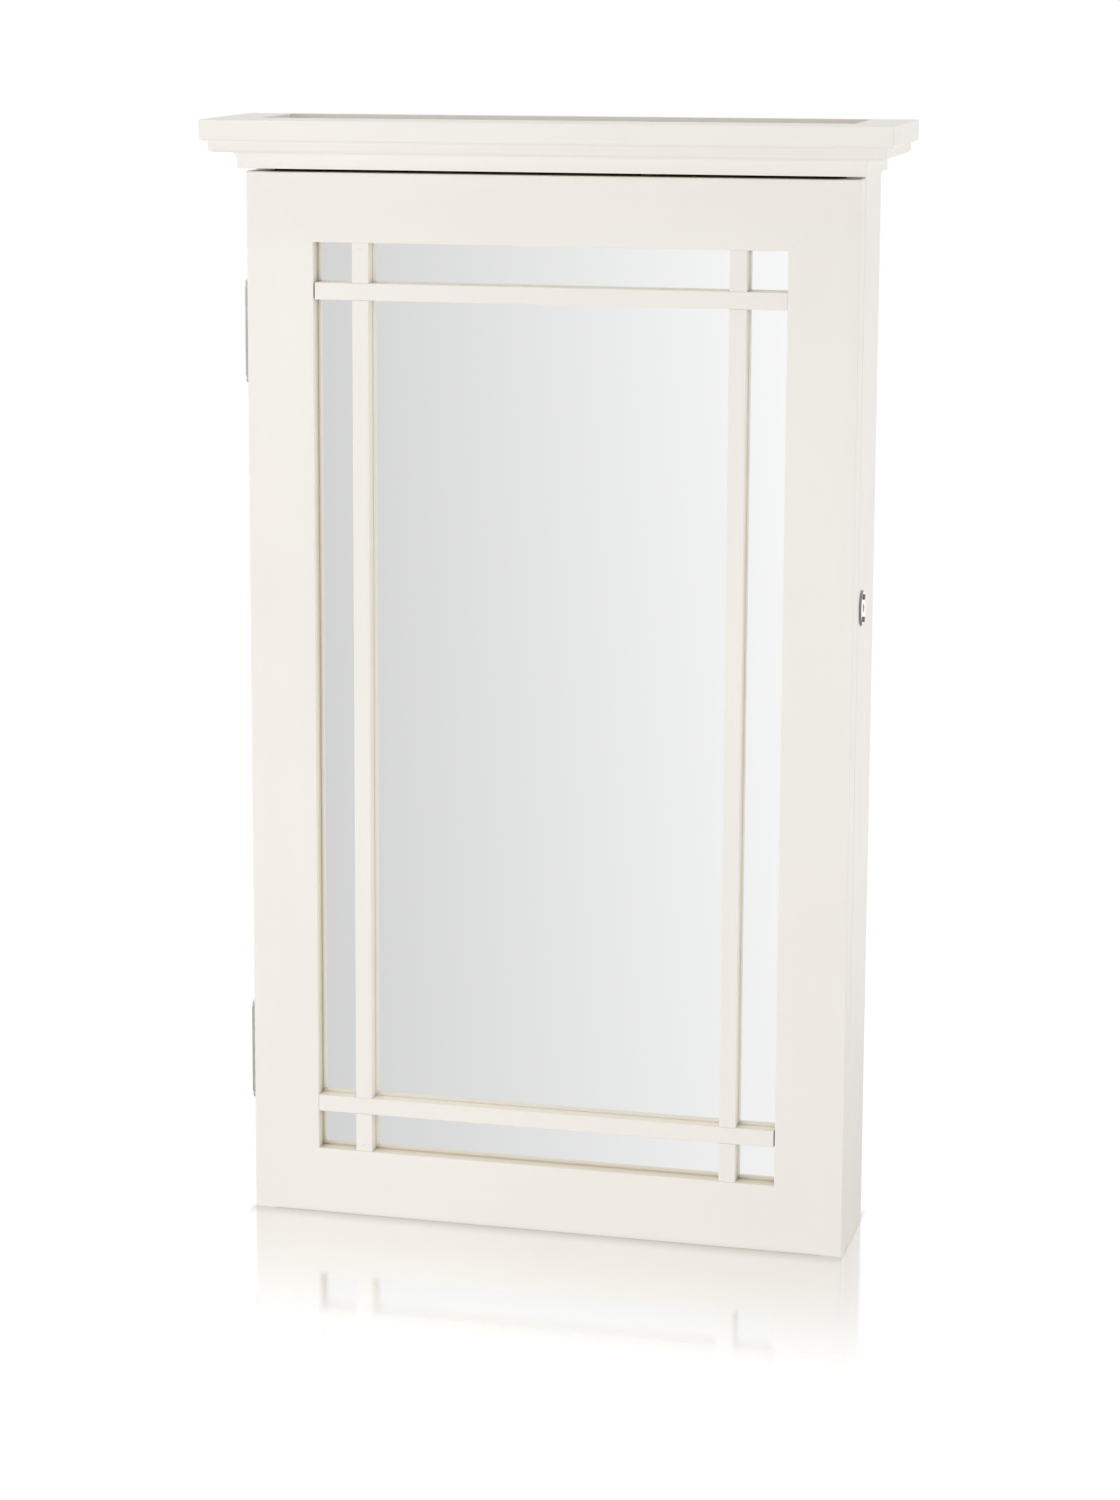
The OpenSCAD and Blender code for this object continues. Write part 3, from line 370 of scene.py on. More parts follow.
def finish(name, mesh, material, nodes, sharp, ease, rim=None):
    """Merges a mesh, turns it outwards, eases it, and puts it in the place of its CAD nodes.

    The rim, if given, is (radius, half box): edges on two of the half box's sides get that radius."""
    work = bmesh.new()
    work.from_mesh(mesh)
    bmesh.ops.remove_doubles(work, verts=work.verts, dist=MERGE)
    bmesh.ops.dissolve_degenerate(work, edges=work.edges, dist=MERGE)
    bmesh.ops.dissolve_limit(work, angle_limit=FLAT_ANGLE, verts=work.verts, edges=work.edges)
    bmesh.ops.recalc_face_normals(work, faces=work.faces)
    work.to_mesh(mesh)
    work.free()
    mesh.materials.clear()
    mesh.materials.append(material)
    mesh.polygons.foreach_set("material_index", np.zeros(len(mesh.polygons), np.int32))
    mesh.polygons.foreach_set("use_smooth", np.ones(len(mesh.polygons), bool))
    mesh.set_sharp_from_angle(angle=radians(sharp))
    made = bpy.data.objects.new(name, mesh)
    bpy.context.scene.collection.objects.link(made)
    if ease:
        bevel = made.modifiers.new("Eased edges", "BEVEL")
        bevel.width, bevel.segments = ease, 2
        bevel.limit_method, bevel.angle_limit = "ANGLE", radians(sharp)
        if rim:
            weigh_rim(mesh, ease / rim[0], rim[1])
            bevel.width, bevel.segments, bevel.limit_method = rim[0], 3, "WEIGHT"
        bevel.miter_outer = "MITER_ARC"
    weigh = made.modifiers.new("Flat faces first", "WEIGHTED_NORMAL")
    weigh.keep_sharp = True
    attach(made, NODES[nodes[0]]["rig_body"])
    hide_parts(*nodes)
    return made


def swell(made, reach, voxel):
    """Swells a padded piece with a cloth simulation under pressure, no point moving further than reach."""
    mesh = made.data
    remesh = made.modifiers.new("Voxels", "REMESH")
    remesh.mode, remesh.voxel_size = "VOXEL", voxel
    bake(made)
    start = np.empty(len(mesh.vertices) * 3)
    mesh.vertices.foreach_get("co", start)
    cloth = made.modifiers.new("Cloth", "CLOTH")
    cloth.settings.use_pressure = True
    cloth.settings.uniform_pressure_force = CLOTH_PRESSURE
    cloth.settings.effector_weights.gravity = 0.0
    cloth.settings.quality = CLOTH_STEPS
    for number in range(1, CLOTH_FRAMES + 1):
        bpy.context.scene.frame_set(number)
    bake(made)
    bpy.context.scene.frame_set(1)
    moved = np.empty_like(start)
    mesh.vertices.foreach_get("co", moved)
    step = (moved - start).reshape(-1, 3)
    far = np.linalg.norm(step, axis=1, keepdims=True)
    step *= np.minimum(1.0, reach / np.maximum(far, 1e-9))
    mesh.vertices.foreach_set("co", (start.reshape(-1, 3) + step).ravel())
    mesh.polygons.foreach_set("use_smooth", np.ones(len(mesh.polygons), bool))
    mesh.update()


def bake(made):
    """Applies a piece's modifiers to its own mesh."""
    view = bpy.context.view_layer
    view.update()
    result = bpy.data.meshes.new_from_object(made.evaluated_get(view.depsgraph))
    work = bmesh.new()
    work.from_mesh(result)
    work.to_mesh(made.data)
    work.free()
    bpy.data.meshes.remove(result)
    made.modifiers.clear()


class Wires:
    """Adds nodes to one shader tree, set and joined as they are made."""

    def __init__(self, tree):
        self.tree = tree
        tree.nodes.clear()

    def add(self, kind, sockets=None, **settings):
        """Adds a node: a socket gets a value, or a link from another node's socket."""
        made = self.tree.nodes.new(kind)
        for name, value in settings.items():
            setattr(made, name, value)
        for key, value in (sockets or {}).items():
            if isinstance(value, bpy.types.NodeSocket):
                self.tree.links.new(value, made.inputs[key])
            else:
                made.inputs[key].default_value = value
        return made

    def math(self, operation, a, b=0.0, clamp=False):
        """Joins one or two numbers by an operation."""
        return self.add("ShaderNodeMath", {0: a, 1: b}, operation=operation, use_clamp=clamp).outputs[0]

    def span(self, value, low, high, start, stop, kind="LINEAR"):
        """Carries value's range low to high on to start to stop."""
        return self.add("ShaderNodeMapRange", {0: value, 1: low, 2: high, 3: start, 4: stop},
                        interpolation_type=kind).outputs[0]

    def stretch(self, vector, scale):
        """Multiplies each part of a vector by the same part of scale."""
        return self.add("ShaderNodeVectorMath", {0: vector, 1: scale}, operation="MULTIPLY").outputs[0]

    def noise(self, vector, scale, detail=2.0, rough=0.5):
        """Cloudy noise of about scale clouds in a metre."""
        return self.add("ShaderNodeTexNoise", {"Vector": vector, "Scale": scale, "Detail": detail,
                                               "Roughness": rough}).outputs["Fac"]

    def mix(self, share, a, b):
        """Mixes two colours."""
        return self.add("ShaderNodeMix", {0: share, 6: a, 7: b}, data_type="RGBA").outputs[2]

    def blend(self, share, a, b):
        """Mixes two plain numbers."""
        return self.add("ShaderNodeMix", {0: share, 2: a, 3: b}, data_type="FLOAT").outputs[0]

    def flat_length(self, a, b):
        """Length of a flat vector of two parts."""
        squares = self.math("ADD", self.math("MULTIPLY", a, a), self.math("MULTIPLY", b, b))
        return self.math("SQRT", squares)

    def place(self):
        """The place on the object, in metres."""
        return self.add("ShaderNodeTexCoord").outputs["Object"]

    def axes(self, vector):
        """The parts of a vector along X, Y and Z."""
        return self.add("ShaderNodeSeparateXYZ", {0: vector}).outputs

    def glow(self, strength, colour=WHITE):
        """A shader that shines by itself."""
        return self.add("ShaderNodeEmission", {"Color": colour, "Strength": strength}).outputs[0]

    def coat(self, share, under, over):
        """Covers one shader with a share of another."""
        return self.add("ShaderNodeMixShader", {0: share, 1: under, 2: over}).outputs[0]

    def group(self, tree, **sockets):
        """Places a node group and gives its outputs."""
        made = self.add("ShaderNodeGroup", node_tree=tree)
        for name, value in sockets.items():
            socket = made.inputs[name]
            if isinstance(value, bpy.types.NodeSocket):
                self.tree.links.new(value, socket)
            else:
                socket.default_value = value
        return made.outputs


def effect(name, inputs, outputs, build):
    """A node group, built once: build gets the wires and the inputs and gives a socket for each output."""
    tree = bpy.data.node_groups.get(name)
    if tree:
        return tree
    tree = bpy.data.node_groups.new(name, "ShaderNodeTree")
    for label, kind, default in inputs:
        socket = tree.interface.new_socket(label, in_out="INPUT", socket_type=kind)
        socket.default_value = default
    for label in outputs:
        tree.interface.new_socket(label, in_out="OUTPUT", socket_type="NodeSocketFloat")
    wires = Wires(tree)
    entry = wires.add("NodeGroupInput")
    wires.add("NodeGroupOutput", dict(zip(outputs, build(wires, entry.outputs))))
    return tree


def vector_input(name):
    """A group's vector input."""
    return name, "NodeSocketVector", (0.0, 0.0, 0.0)


def edge_rub():
    """Mask of the convex edges, where hands burnish a finish: 1 - n . n', n' the normal rounded off."""
    def build(w, inp):
        soft = w.add("ShaderNodeBevel", {"Radius": inp["Radius"]}, samples=4).outputs[0]
        true = w.add("ShaderNodeNewGeometry").outputs["Normal"]
        same = w.add("ShaderNodeVectorMath", {0: soft, 1: true}, operation="DOT_PRODUCT").outputs["Value"]
        worn = w.span(w.math("SUBTRACT", 1.0, same), 0.02, 0.30, 0.0, 1.0)
        return [w.math("MULTIPLY", worn, w.span(w.noise(inp["Vector"], 90.0, 4.0), 0.35, 0.65, 0.2, 1.0))]
    inputs = [vector_input("Vector"), ("Radius", "NodeSocketFloat", MM)]
    return effect("Edge rub", inputs, ["Mask"], build)


def painted_gap_shade():
    """Mask of narrow gaps that open on the dark inside of the case, where the paint gets painted shade: a
    darker, browner tone that stands in for the shade in the gap.
    """
    def build(w, inp):
        free = w.add("ShaderNodeAmbientOcclusion", {"Distance": inp["Reach"]}, samples=4).outputs["AO"]
        across = w.math("ABSOLUTE", w.axes(inp["Vector"])["X"])
        wall = -low_high("side_panel_left")[1][0]
        inside = w.span(across, wall - 4 * MM, wall + 2 * MM, 1.0, 0.0)
        return [w.math("MULTIPLY", w.span(free, 0.12, 0.32, 1.0, 0.0), inside)]
    inputs = [vector_input("Vector"), ("Reach", "NodeSocketFloat", MM)]
    return effect("Painted gap shade", inputs, ["Mask"], build)


def sprayed_paint():
    """Satin paint over wood: soft clouds of tone, orange peel and the faint print of the grain."""
    def build(w, inp):
        place, grain = inp["Vector"], inp["Grain"]
        peel = w.noise(place, 620.0, 1.0)
        fibre = w.noise(grain, 46.0, 5.0, 0.6)
        clouds = w.noise(place, 5.5, 3.0, 0.55)
        specks = w.span(w.noise(place, 300.0, 2.0), 0.70, 0.78, 0.0, 1.0)
        tone = w.math("ADD", w.span(clouds, 0.35, 0.65, 0.30, 0.85),
                      w.span(fibre, 0.3, 0.7, -0.18, 0.12), clamp=True)
        tone = w.math("SUBTRACT", tone, w.math("MULTIPLY", specks, 0.35), clamp=True)
        rough = w.math("ADD", w.span(w.noise(place, 38.0, 3.0), 0.3, 0.7, 0.34, 0.44),
                       w.span(peel, 0.3, 0.7, -0.02, 0.03))
        height = w.math("ADD", w.math("MULTIPLY", peel, 0.55), w.math("MULTIPLY", fibre, 0.45))
        return [tone, rough, height]
    return effect("Sprayed paint", [vector_input("Vector"), vector_input("Grain")],
                  ["Tone", "Roughness", "Height"], build)


def velvet_pile():
    """Short pile: fine tufts, brushed patches where the nap leans, and a little lint."""
    def build(w, inp):
        place = inp["Vector"]
        tufts = w.noise(place, 2600.0, 2.0, 0.6)
        nap = w.noise(place, 24.0, 4.0, 0.6)
        lint = w.span(w.noise(w.stretch(place, (1.0, 0.6, 0.35)), 520.0, 1.0), 0.76, 0.82, 0.0, 1.0)
        tone = w.math("ADD", w.span(nap, 0.32, 0.68, 0.10, 0.75), w.span(tufts, 0.3, 0.7, -0.12, 0.25),
                      clamp=True)
        height = w.math("ADD", w.math("MULTIPLY", tufts, 0.6), w.math("MULTIPLY", nap, 0.4))
        return [tone, w.span(nap, 0.3, 0.7, 0.82, 0.97), height, lint]
    return effect("Velvet pile", [vector_input("Vector")], ["Tone", "Roughness", "Height", "Lint"], build)


def brushed_metal():
    """Fine brush lines along one axis, cloudy tarnish and a few deeper scratches."""
    def build(w, inp):
        place, lines = inp["Vector"], inp["Lines"]
        brush = w.noise(lines, 900.0, 3.0, 0.7)
        cloud = w.noise(place, 130.0, 3.0, 0.6)
        scratch = w.span(w.noise(w.stretch(lines, (1.0, 0.7, 1.3)), 260.0, 1.0), 0.72, 0.76, 0.0, 1.0)
        tone = w.math("SUBTRACT", w.span(cloud, 0.3, 0.7, 0.45, 1.0), w.math("MULTIPLY", scratch, 0.3),
                      clamp=True)
        rough = w.math("ADD", w.span(brush, 0.3, 0.7, 0.20, 0.34), w.span(cloud, 0.3, 0.7, 0.04, -0.03))
        return [tone, rough, w.math("SUBTRACT", brush, w.math("MULTIPLY", scratch, 0.5))]
    return effect("Brushed metal", [vector_input("Vector"), vector_input("Lines")],
                  ["Tone", "Roughness", "Height"], build)


def wood_fibre():
    """Long fibres and pores of bare or stained wood."""
    def build(w, inp):
        grain = inp["Grain"]
        fibre = w.noise(grain, 60.0, 6.0, 0.65)
        pores = w.span(w.noise(grain, 210.0, 2.0), 0.60, 0.72, 0.0, 1.0)
        tone = w.math("SUBTRACT", w.span(fibre, 0.3, 0.7, 0.1, 1.0), w.math("MULTIPLY", pores, 0.4),
                      clamp=True)
        return [tone, w.span(fibre, 0.3, 0.7, 0.62, 0.48), w.math("SUBTRACT", fibre, pores)]
    return effect("Wood fibre", [vector_input("Grain")], ["Tone", "Roughness", "Height"], build)


def shade(colour, factor):
    """A colour's RGBA, darkened or lightened by a factor."""
    return (*(min(1.0, c * factor) for c in colour), 1.0)


def warmed(colour, factor, warmth):
    """A colour's RGBA times a factor, its blue lowered by warmth and its green by a third of that."""
    r, g, b = (c * factor for c in colour)
    return (min(1.0, r), g * (1 - warmth / 3), b * (1 - warmth), 1.0)


def start_material(name, slot):
    """A new material for a record's slot, with its wires."""
    made = bpy.data.materials.new(name)
    made.use_nodes = True
    made["slot"] = slot
    return made, Wires(made.node_tree)


def end_material(w, shader, height=None, depth=0.0, strength=0.3):
    """Joins the shader to the output, with a bump of that depth in metres if a height is given."""
    if height is not None:
        bump = w.add("ShaderNodeBump", {"Strength": strength, "Distance": depth, "Height": height})
        w.tree.links.new(bump.outputs[0], shader.inputs["Normal"])
    w.add("ShaderNodeOutputMaterial", {"Surface": shader.outputs[0]})


def paint_material(name, slot, colour, grain, marks=()):
    """Sprayed satin paint, its edges rubbed a little, with painted shade in its narrow gaps. marks are
    filled nail holes, (x, z) on the front.
    """
    made, w = start_material(name, slot)
    place = w.place()
    skin = w.group(sprayed_paint(), Vector=place, Grain=w.stretch(place, ALONG[grain]))
    rub = w.group(edge_rub(), Vector=place, Radius=1.1 * MM)["Mask"]
    body = w.mix(skin["Tone"], warmed(colour, 0.965, 0.012), shade(colour, 1.012))
    body = w.mix(w.math("MULTIPLY", rub, 0.35), body, warmed(colour, 0.93, 0.05))
    # Painted shade: in narrow gaps by the dark inside of the case, the paint turns darker and browner.
    gap = w.group(painted_gap_shade(), Vector=place, Reach=6 * MM)["Mask"]
    body = w.mix(gap, body, warmed(colour, 0.34, 0.55))
    rough, height = skin["Roughness"], skin["Height"]
    for x, z in marks:
        away = w.add("ShaderNodeVectorMath", {0: w.stretch(place, (1.0, 0.0, 1.0)), 1: (x, 0.0, z)},
                     operation="DISTANCE").outputs["Value"]
        dot = w.span(away, 0.5 * MM, 0.9 * MM, 1.0, 0.0)
        body = w.mix(w.math("MULTIPLY", dot, 0.5), body, warmed(colour, 0.80, 0.06))
        height = w.math("SUBTRACT", height, w.math("MULTIPLY", dot, 1.5))
    shader = w.add("ShaderNodeBsdfPrincipled", {"Base Color": body, "Roughness": rough,
                                                "Specular IOR Level": 0.42})
    end_material(w, shader, height, 0.05 * MM)
    return made


def velvet_material(name, slot, colour):
    """Dark velvet with a sheen, brushed patches and a trace of lint."""
    made, w = start_material(name, slot)
    pile = w.group(velvet_pile(), Vector=w.place())
    body = w.mix(pile["Tone"], shade(colour, 0.55), shade(colour, 1.75))
    body = w.mix(w.math("MULTIPLY", pile["Lint"], 0.35), body, shade(colour, 6.0))
    shader = w.add("ShaderNodeBsdfPrincipled", {"Base Color": body, "Roughness": pile["Roughness"],
                                                "Specular IOR Level": 0.15, "Sheen Weight": 0.55,
                                                "Sheen Roughness": 0.35,
                                                "Sheen Tint": shade(colour, 14.0)})
    end_material(w, shader, pile["Height"], 0.35 * MM, 0.6)
    return made


def metal_material(name, slot, colour, lines, gloss=0.0, face=None):
    """Plated metal, brushed along one axis and duller or brighter by gloss.

    A face (front, y, z, radius) darkens it behind that front, as a painted dark reflection on the plate's
    rim, and in a disc of that radius round the keyhole at (y, z)."""
    made, w = start_material(name, slot)
    place = w.place()
    skin = w.group(brushed_metal(), Vector=place, Lines=w.stretch(place, ALONG[lines]))
    rub = w.group(edge_rub(), Vector=place, Radius=0.4 * MM)["Mask"]
    body = w.mix(skin["Tone"], warmed(colour, 0.72, 0.06), shade(colour, 1.05))
    body = w.mix(w.math("MULTIPLY", rub, 0.5), body, shade(colour, 1.25))
    if face:
        # Painted reflection: the rim behind the plate's front is darkened as if it mirrored something
        # dark. A disc round the keyhole is darkened too.
        axes, (front, y, z, radius) = w.axes(place), face
        out = w.flat_length(w.math("SUBTRACT", axes["Y"], y), w.math("SUBTRACT", axes["Z"], z))
        rim_and_keyhole_dark = w.math("MAXIMUM", w.span(out, 0.8 * radius, radius, 1.0, 0.0),
                     w.span(axes["X"], front - 0.08 * MM, front, 0.8, 0.0))
        body = w.mix(w.math("MULTIPLY", rim_and_keyhole_dark, 0.93), body, shade(colour, 0.07))
    shader = w.add("ShaderNodeBsdfPrincipled", {"Base Color": body, "Metallic": 1.0,
                                                "Roughness": w.math("SUBTRACT", skin["Roughness"], gloss)})
    end_material(w, shader, skin["Height"], 0.02 * MM)
    return made


def wood_material(name, slot, colour, grain, contrast):
    """Stained wood or board, its fibres along one axis."""
    made, w = start_material(name, slot)
    skin = w.group(wood_fibre(), Grain=w.stretch(w.place(), ALONG[grain]))
    body = w.mix(skin["Tone"], shade(colour, 1 - contrast), shade(colour, 1 + contrast))
    shader = w.add("ShaderNodeBsdfPrincipled", {"Base Color": body, "Roughness": skin["Roughness"],
                                                "Specular IOR Level": 0.35})
    end_material(w, shader, skin["Height"], 0.12 * MM)
    return made


def mirror_material(colour, glow_colour, glow):
    """Silvered glass: a clear reflection, a breath of smears and a few specks of dust.

    On the frame round it, it is a painted glow: to diffuse rays it turns into a warm surface that shines,
    standing in for the light of the large pale room that it would mirror."""
    made, w = start_material("Silvered glass", "silvered_glass")
    place = w.place()
    smear = w.span(w.noise(w.stretch(place, (1.0, 1.0, 0.5)), 14.0, 4.0, 0.6), 0.45, 0.75, 0.0, 1.0)
    dust = w.span(w.noise(place, 420.0, 2.0), 0.78, 0.84, 0.0, 1.0)
    body = w.mix(w.math("MULTIPLY", dust, 0.10), shade(colour, 1.0), warmed(colour, 0.80, 0.04))
    rough = w.math("ADD", w.math("MULTIPLY", smear, 0.012), w.math("MULTIPLY", dust, 0.08))
    # Painted light: diffuse rays see a warm, glowing, non-metal surface in place of the mirror.
    cast = w.add("ShaderNodeLightPath").outputs["Is Diffuse Ray"]
    warm = shade(glow_colour, 1.0)
    shader = w.add("ShaderNodeBsdfPrincipled", {
        "Base Color": w.mix(cast, body, warm), "Metallic": w.math("SUBTRACT", 1.0, cast),
        "Roughness": rough, "Emission Color": warm, "Emission Strength": w.math("MULTIPLY", cast, glow)})
    end_material(w, shader)
    made.cycles.emission_sampling = "NONE"
    return made


def plastic_material(name, slot, colour, rough, clear=0.0):
    """Moulded plastic or rubber with a fine spark finish."""
    made, w = start_material(name, slot)
    place = w.place()
    spark = w.noise(place, 1500.0, 2.0)
    cloud = w.noise(place, 60.0, 3.0)
    body = w.mix(w.span(cloud, 0.3, 0.7, 0.0, 1.0), warmed(colour, 0.93, 0.03), shade(colour, 1.03))
    shader = w.add("ShaderNodeBsdfPrincipled", {"Base Color": body, "Transmission Weight": clear,
                                                "Roughness": w.span(spark, 0.3, 0.7, rough, rough + 0.12)})
    end_material(w, shader, spark, 0.02 * MM)
    return made


def magnet_material(colour):
    """Sintered magnet: dark grains with chipped bright specks."""
    made, w = start_material("Sintered magnet", "magnet_iron")
    place = w.place()
    grains = w.noise(place, 900.0, 4.0, 0.7)
    chips = w.span(w.noise(place, 260.0, 2.0), 0.66, 0.70, 0.0, 1.0)
    body = w.mix(chips, w.mix(grains, shade(colour, 0.7), shade(colour, 1.4)), shade(colour, 2.2))
    shader = w.add("ShaderNodeBsdfPrincipled", {"Base Color": body, "Metallic": 0.6,
                                                "Roughness": w.span(grains, 0.3, 0.7, 0.45, 0.65)})
    end_material(w, shader, grains, 0.06 * MM)
    return made


FINISHES = {}


def finishes():
    """Every finish by name, made once."""
    kept = FINISHES
    if kept:
        return kept
    c, s = bpy.context.scene.armoire_colours, bpy.context.scene.armoire_sizes
    low, high = low_high("grille_bar_left")
    nail_x, nail_z = (low[0] + high[0]) / 2, high[2] - s.nail_inset
    low, high = low_high("keyhole_plate")
    plate_face = (high[0] - NEAR_PLANE, (low[1] + high[1]) / 2, (low[2] + high[2]) / 2, s.keyhole_dark_radius)
    for grain in "xyz":
        kept["paint_" + grain] = paint_material("Ivory paint " + grain, "ivory_paint", c.paint, grain)
    kept["paint_nailed"] = paint_material("Ivory paint nailed", "ivory_paint", c.paint, "z",
                                          ((nail_x, nail_z), (nail_x, -nail_z)))
    kept["board"] = paint_material("Painted board", "back_board", c.board, "z")
    kept["stain"] = wood_material("Dark stain", "dark_stain", c.stain, "x", 0.5)
    kept["velvet"] = velvet_material("Black velvet", "black_velvet", c.velvet)
    for lines in "xyz":
        kept["nickel_" + lines] = metal_material("Satin nickel " + lines, "nickel", c.nickel, lines)
    kept["bright"] = metal_material("Bright nickel", "nickel", c.bright, "z", 0.10, plate_face)
    kept["aged"] = metal_material("Aged nickel", "nickel", c.aged, "x")
    kept["steel"] = metal_material("Oiled steel", "dark_steel", c.steel, "x")
    kept["magnet"] = magnet_material(c.magnet)
    kept["plastic"] = plastic_material("Moulded plastic", "white_plastic", c.plastic, 0.36)
    kept["rubber"] = plastic_material("Clear rubber", "clear_rubber", c.rubber, 0.22, 0.55)
    kept["mirror"] = mirror_material(c.mirror, c.mirror_cast, c.mirror_glow)
    kept["hardboard"] = wood_material("Hardboard", "hardboard", c.hardboard, "z", 0.25)
    return kept


def crown_section(s, depth, side):
    """Section of the crown, (distance in, height): flats joined by quarter rounds and a cove.

    A round is centre + r (cos t, sin t), and the cove (setback + w cos t, fillet + h sin t)."""
    cove_top = s.fillet_h + s.cove_h
    band_top = cove_top + s.band_h
    top = band_top + s.fascia_h
    return np.concatenate([
        [[depth, 0.0], [side, 0.0], [s.band_setback + s.cove_w, 0.0]],
        arc(s.band_setback, s.fillet_h, s.cove_w, s.cove_h, 0, 90, 10),
        arc(s.fascia_step + s.band_r, cove_top + s.band_r, s.band_r, s.band_r, 270, 180, 8),
        [[s.fascia_step, band_top]],
        arc(s.fascia_r, band_top + s.fascia_r, s.fascia_r, s.fascia_r, 270, 180, 6),
        arc(s.crown_top_r, top - s.crown_top_r, s.crown_top_r, s.crown_top_r, 180, 90, 4),
        [[side, top], [depth, top]]])


class ARMOIRE_OT_crown(bpy.types.Operator):
    """Runs the crown's section round the front and both sides, mitred at the corners"""

    bl_idname = "armoire.crown"
    bl_label = "Crown"

    def execute(self, context):
        s = context.scene.armoire_sizes
        (low, high), side_low = low_high("crown_front_moulding"), low_high("crown_right_moulding")[0]
        side = high[0] - side_low[0]
        depth = high[1] - low[1]
        section = crown_section(s, depth, side)
        inward, height = section[:, 0], section[:, 1]
        count = len(section)
        half = high[0] - np.minimum(inward, side)
        rows = [np.stack([sign * half, low[1] + inward, low[2] + height], -1) for sign in (-1, 1)]
        mitre = list(range(1, count - 1))
        inner = [count - 1, 0, 1, count - 2]
        piece("crown_front", [loft(np.stack(rows), [mitre, inner])], finishes()["paint_x"],
              "crown_front_moulding", ease=s.wood_ease)
        inward, height = section[1:-1, 0], section[1:-1, 1]
        for sign, name in ((-1, "left"), (1, "right")):
            x = sign * (high[0] - inward)
            back = np.zeros_like(inward)
            rows = [np.stack([x, y, low[2] + height], -1) for y in (low[1] + inward, back)]
            piece("crown_" + name, [loft(np.stack(rows))], finishes()["paint_y"],
                  f"crown_{name}_moulding", ease=s.wood_ease)
        return {"FINISHED"}


class ARMOIRE_OT_case(bpy.types.Operator):
    """Finishes the case's panels, its wall rails and its back"""

    bl_idname = "armoire.case"
    bl_label = "Case"

    def execute(self, context):
        s, paint = context.scene.armoire_sizes, finishes()
        for node in ("side_panel_left", "side_panel_right"):
            refined(node, paint["paint_z"], s.wood_ease)
        for node in ("top_panel", "bottom_panel"):
            refined(node, paint["paint_x"], s.wood_ease)
        refined("back_panel", paint["board"], s.wood_ease)
        for node in ("wall_rail_upper", "wall_rail_lower"):
            refined(node, paint["stain"], s.wood_ease)
        return {"FINISHED"}


class ARMOIRE_OT_lining(bpy.types.Operator):
    """Covers the back, the sides and the inside of the door with velvet"""

    bl_idname = "armoire.lining"
    bl_label = "Velvet lining"

    def execute(self, context):
        s, velvet = context.scene.armoire_sizes, finishes()["velvet"]
        for node, front in (("lining_back", -1), ("door_lining", 1)):
            low, high = low_high(node)
            skin = velvet_panel(low, high, 1, front, s.velvet_wrap, s.velvet_wave)
            made = piece("velvet_" + node, [skin], velvet, node, sharp=60.0)
        for node, rest in (("lining_left", "side_panel_left"), ("lining_right", "side_panel_right")):
            made = refined(node, velvet, s.side_velvet_ease)
            low, high = low_high(node)
        return {"FINISHED"}


class ARMOIRE_OT_shelves(bpy.types.Operator):
    """Finishes the shelves, their lips, the upright and the bottom dividers"""

    bl_idname = "armoire.shelves"
    bl_label = "Shelves"

    def execute(self, context):
        s, paint = context.scene.armoire_sizes, finishes()
        for node in ("long_shelf", "small_shelf_lower", "small_shelf_middle", "small_shelf_upper"):
            shelf = eased_block(*low_high(node), s.wood_ease, 0)
            piece("fine_" + node, [shelf], paint["paint_x"], node)
        for node in ("long_shelf_lip", "bottom_lip", "small_shelf_lips"):
            refined(node, paint["paint_x"], s.wood_ease)
        for node in ("bottom_divider_left", "bottom_divider_right"):
            divider = eased_block(*low_high(node), s.wood_ease, 1)
            piece("fine_" + node, [divider], paint["paint_y"], node)
        refined("upright_partition", paint["paint_z"], s.wood_ease)
        return {"FINISHED"}


class ARMOIRE_OT_ring_rolls(bpy.types.Operator):
    """Makes the padded velvet rolls that hold rings, swollen by a cloth simulation"""

    bl_idname = "armoire.ring_rolls"
    bl_label = "Ring rolls"

    def execute(self, context):
        s = context.scene.armoire_sizes
        for node in ("ring_rolls_middle", "ring_rolls_upper"):
            low, high = low_high(node)
            r, middle = (high[2] - low[2]) / 2, (low[2] + high[2]) / 2
            pitch = (high[1] - low[1] - 2 * r) / (s.roll_count - 1)
            skins = [roll_skin(low[0] + s.roll_swell, high[0] - s.roll_swell, low[1] + r + k * pitch,
                               middle, s.roll_r, s.roll_end) for k in range(s.roll_count)]
            made = piece("padded_" + node, skins, finishes()["velvet"], node, sharp=80.0)
            swell(made, s.roll_swell, s.roll_voxel)
        return {"FINISHED"}


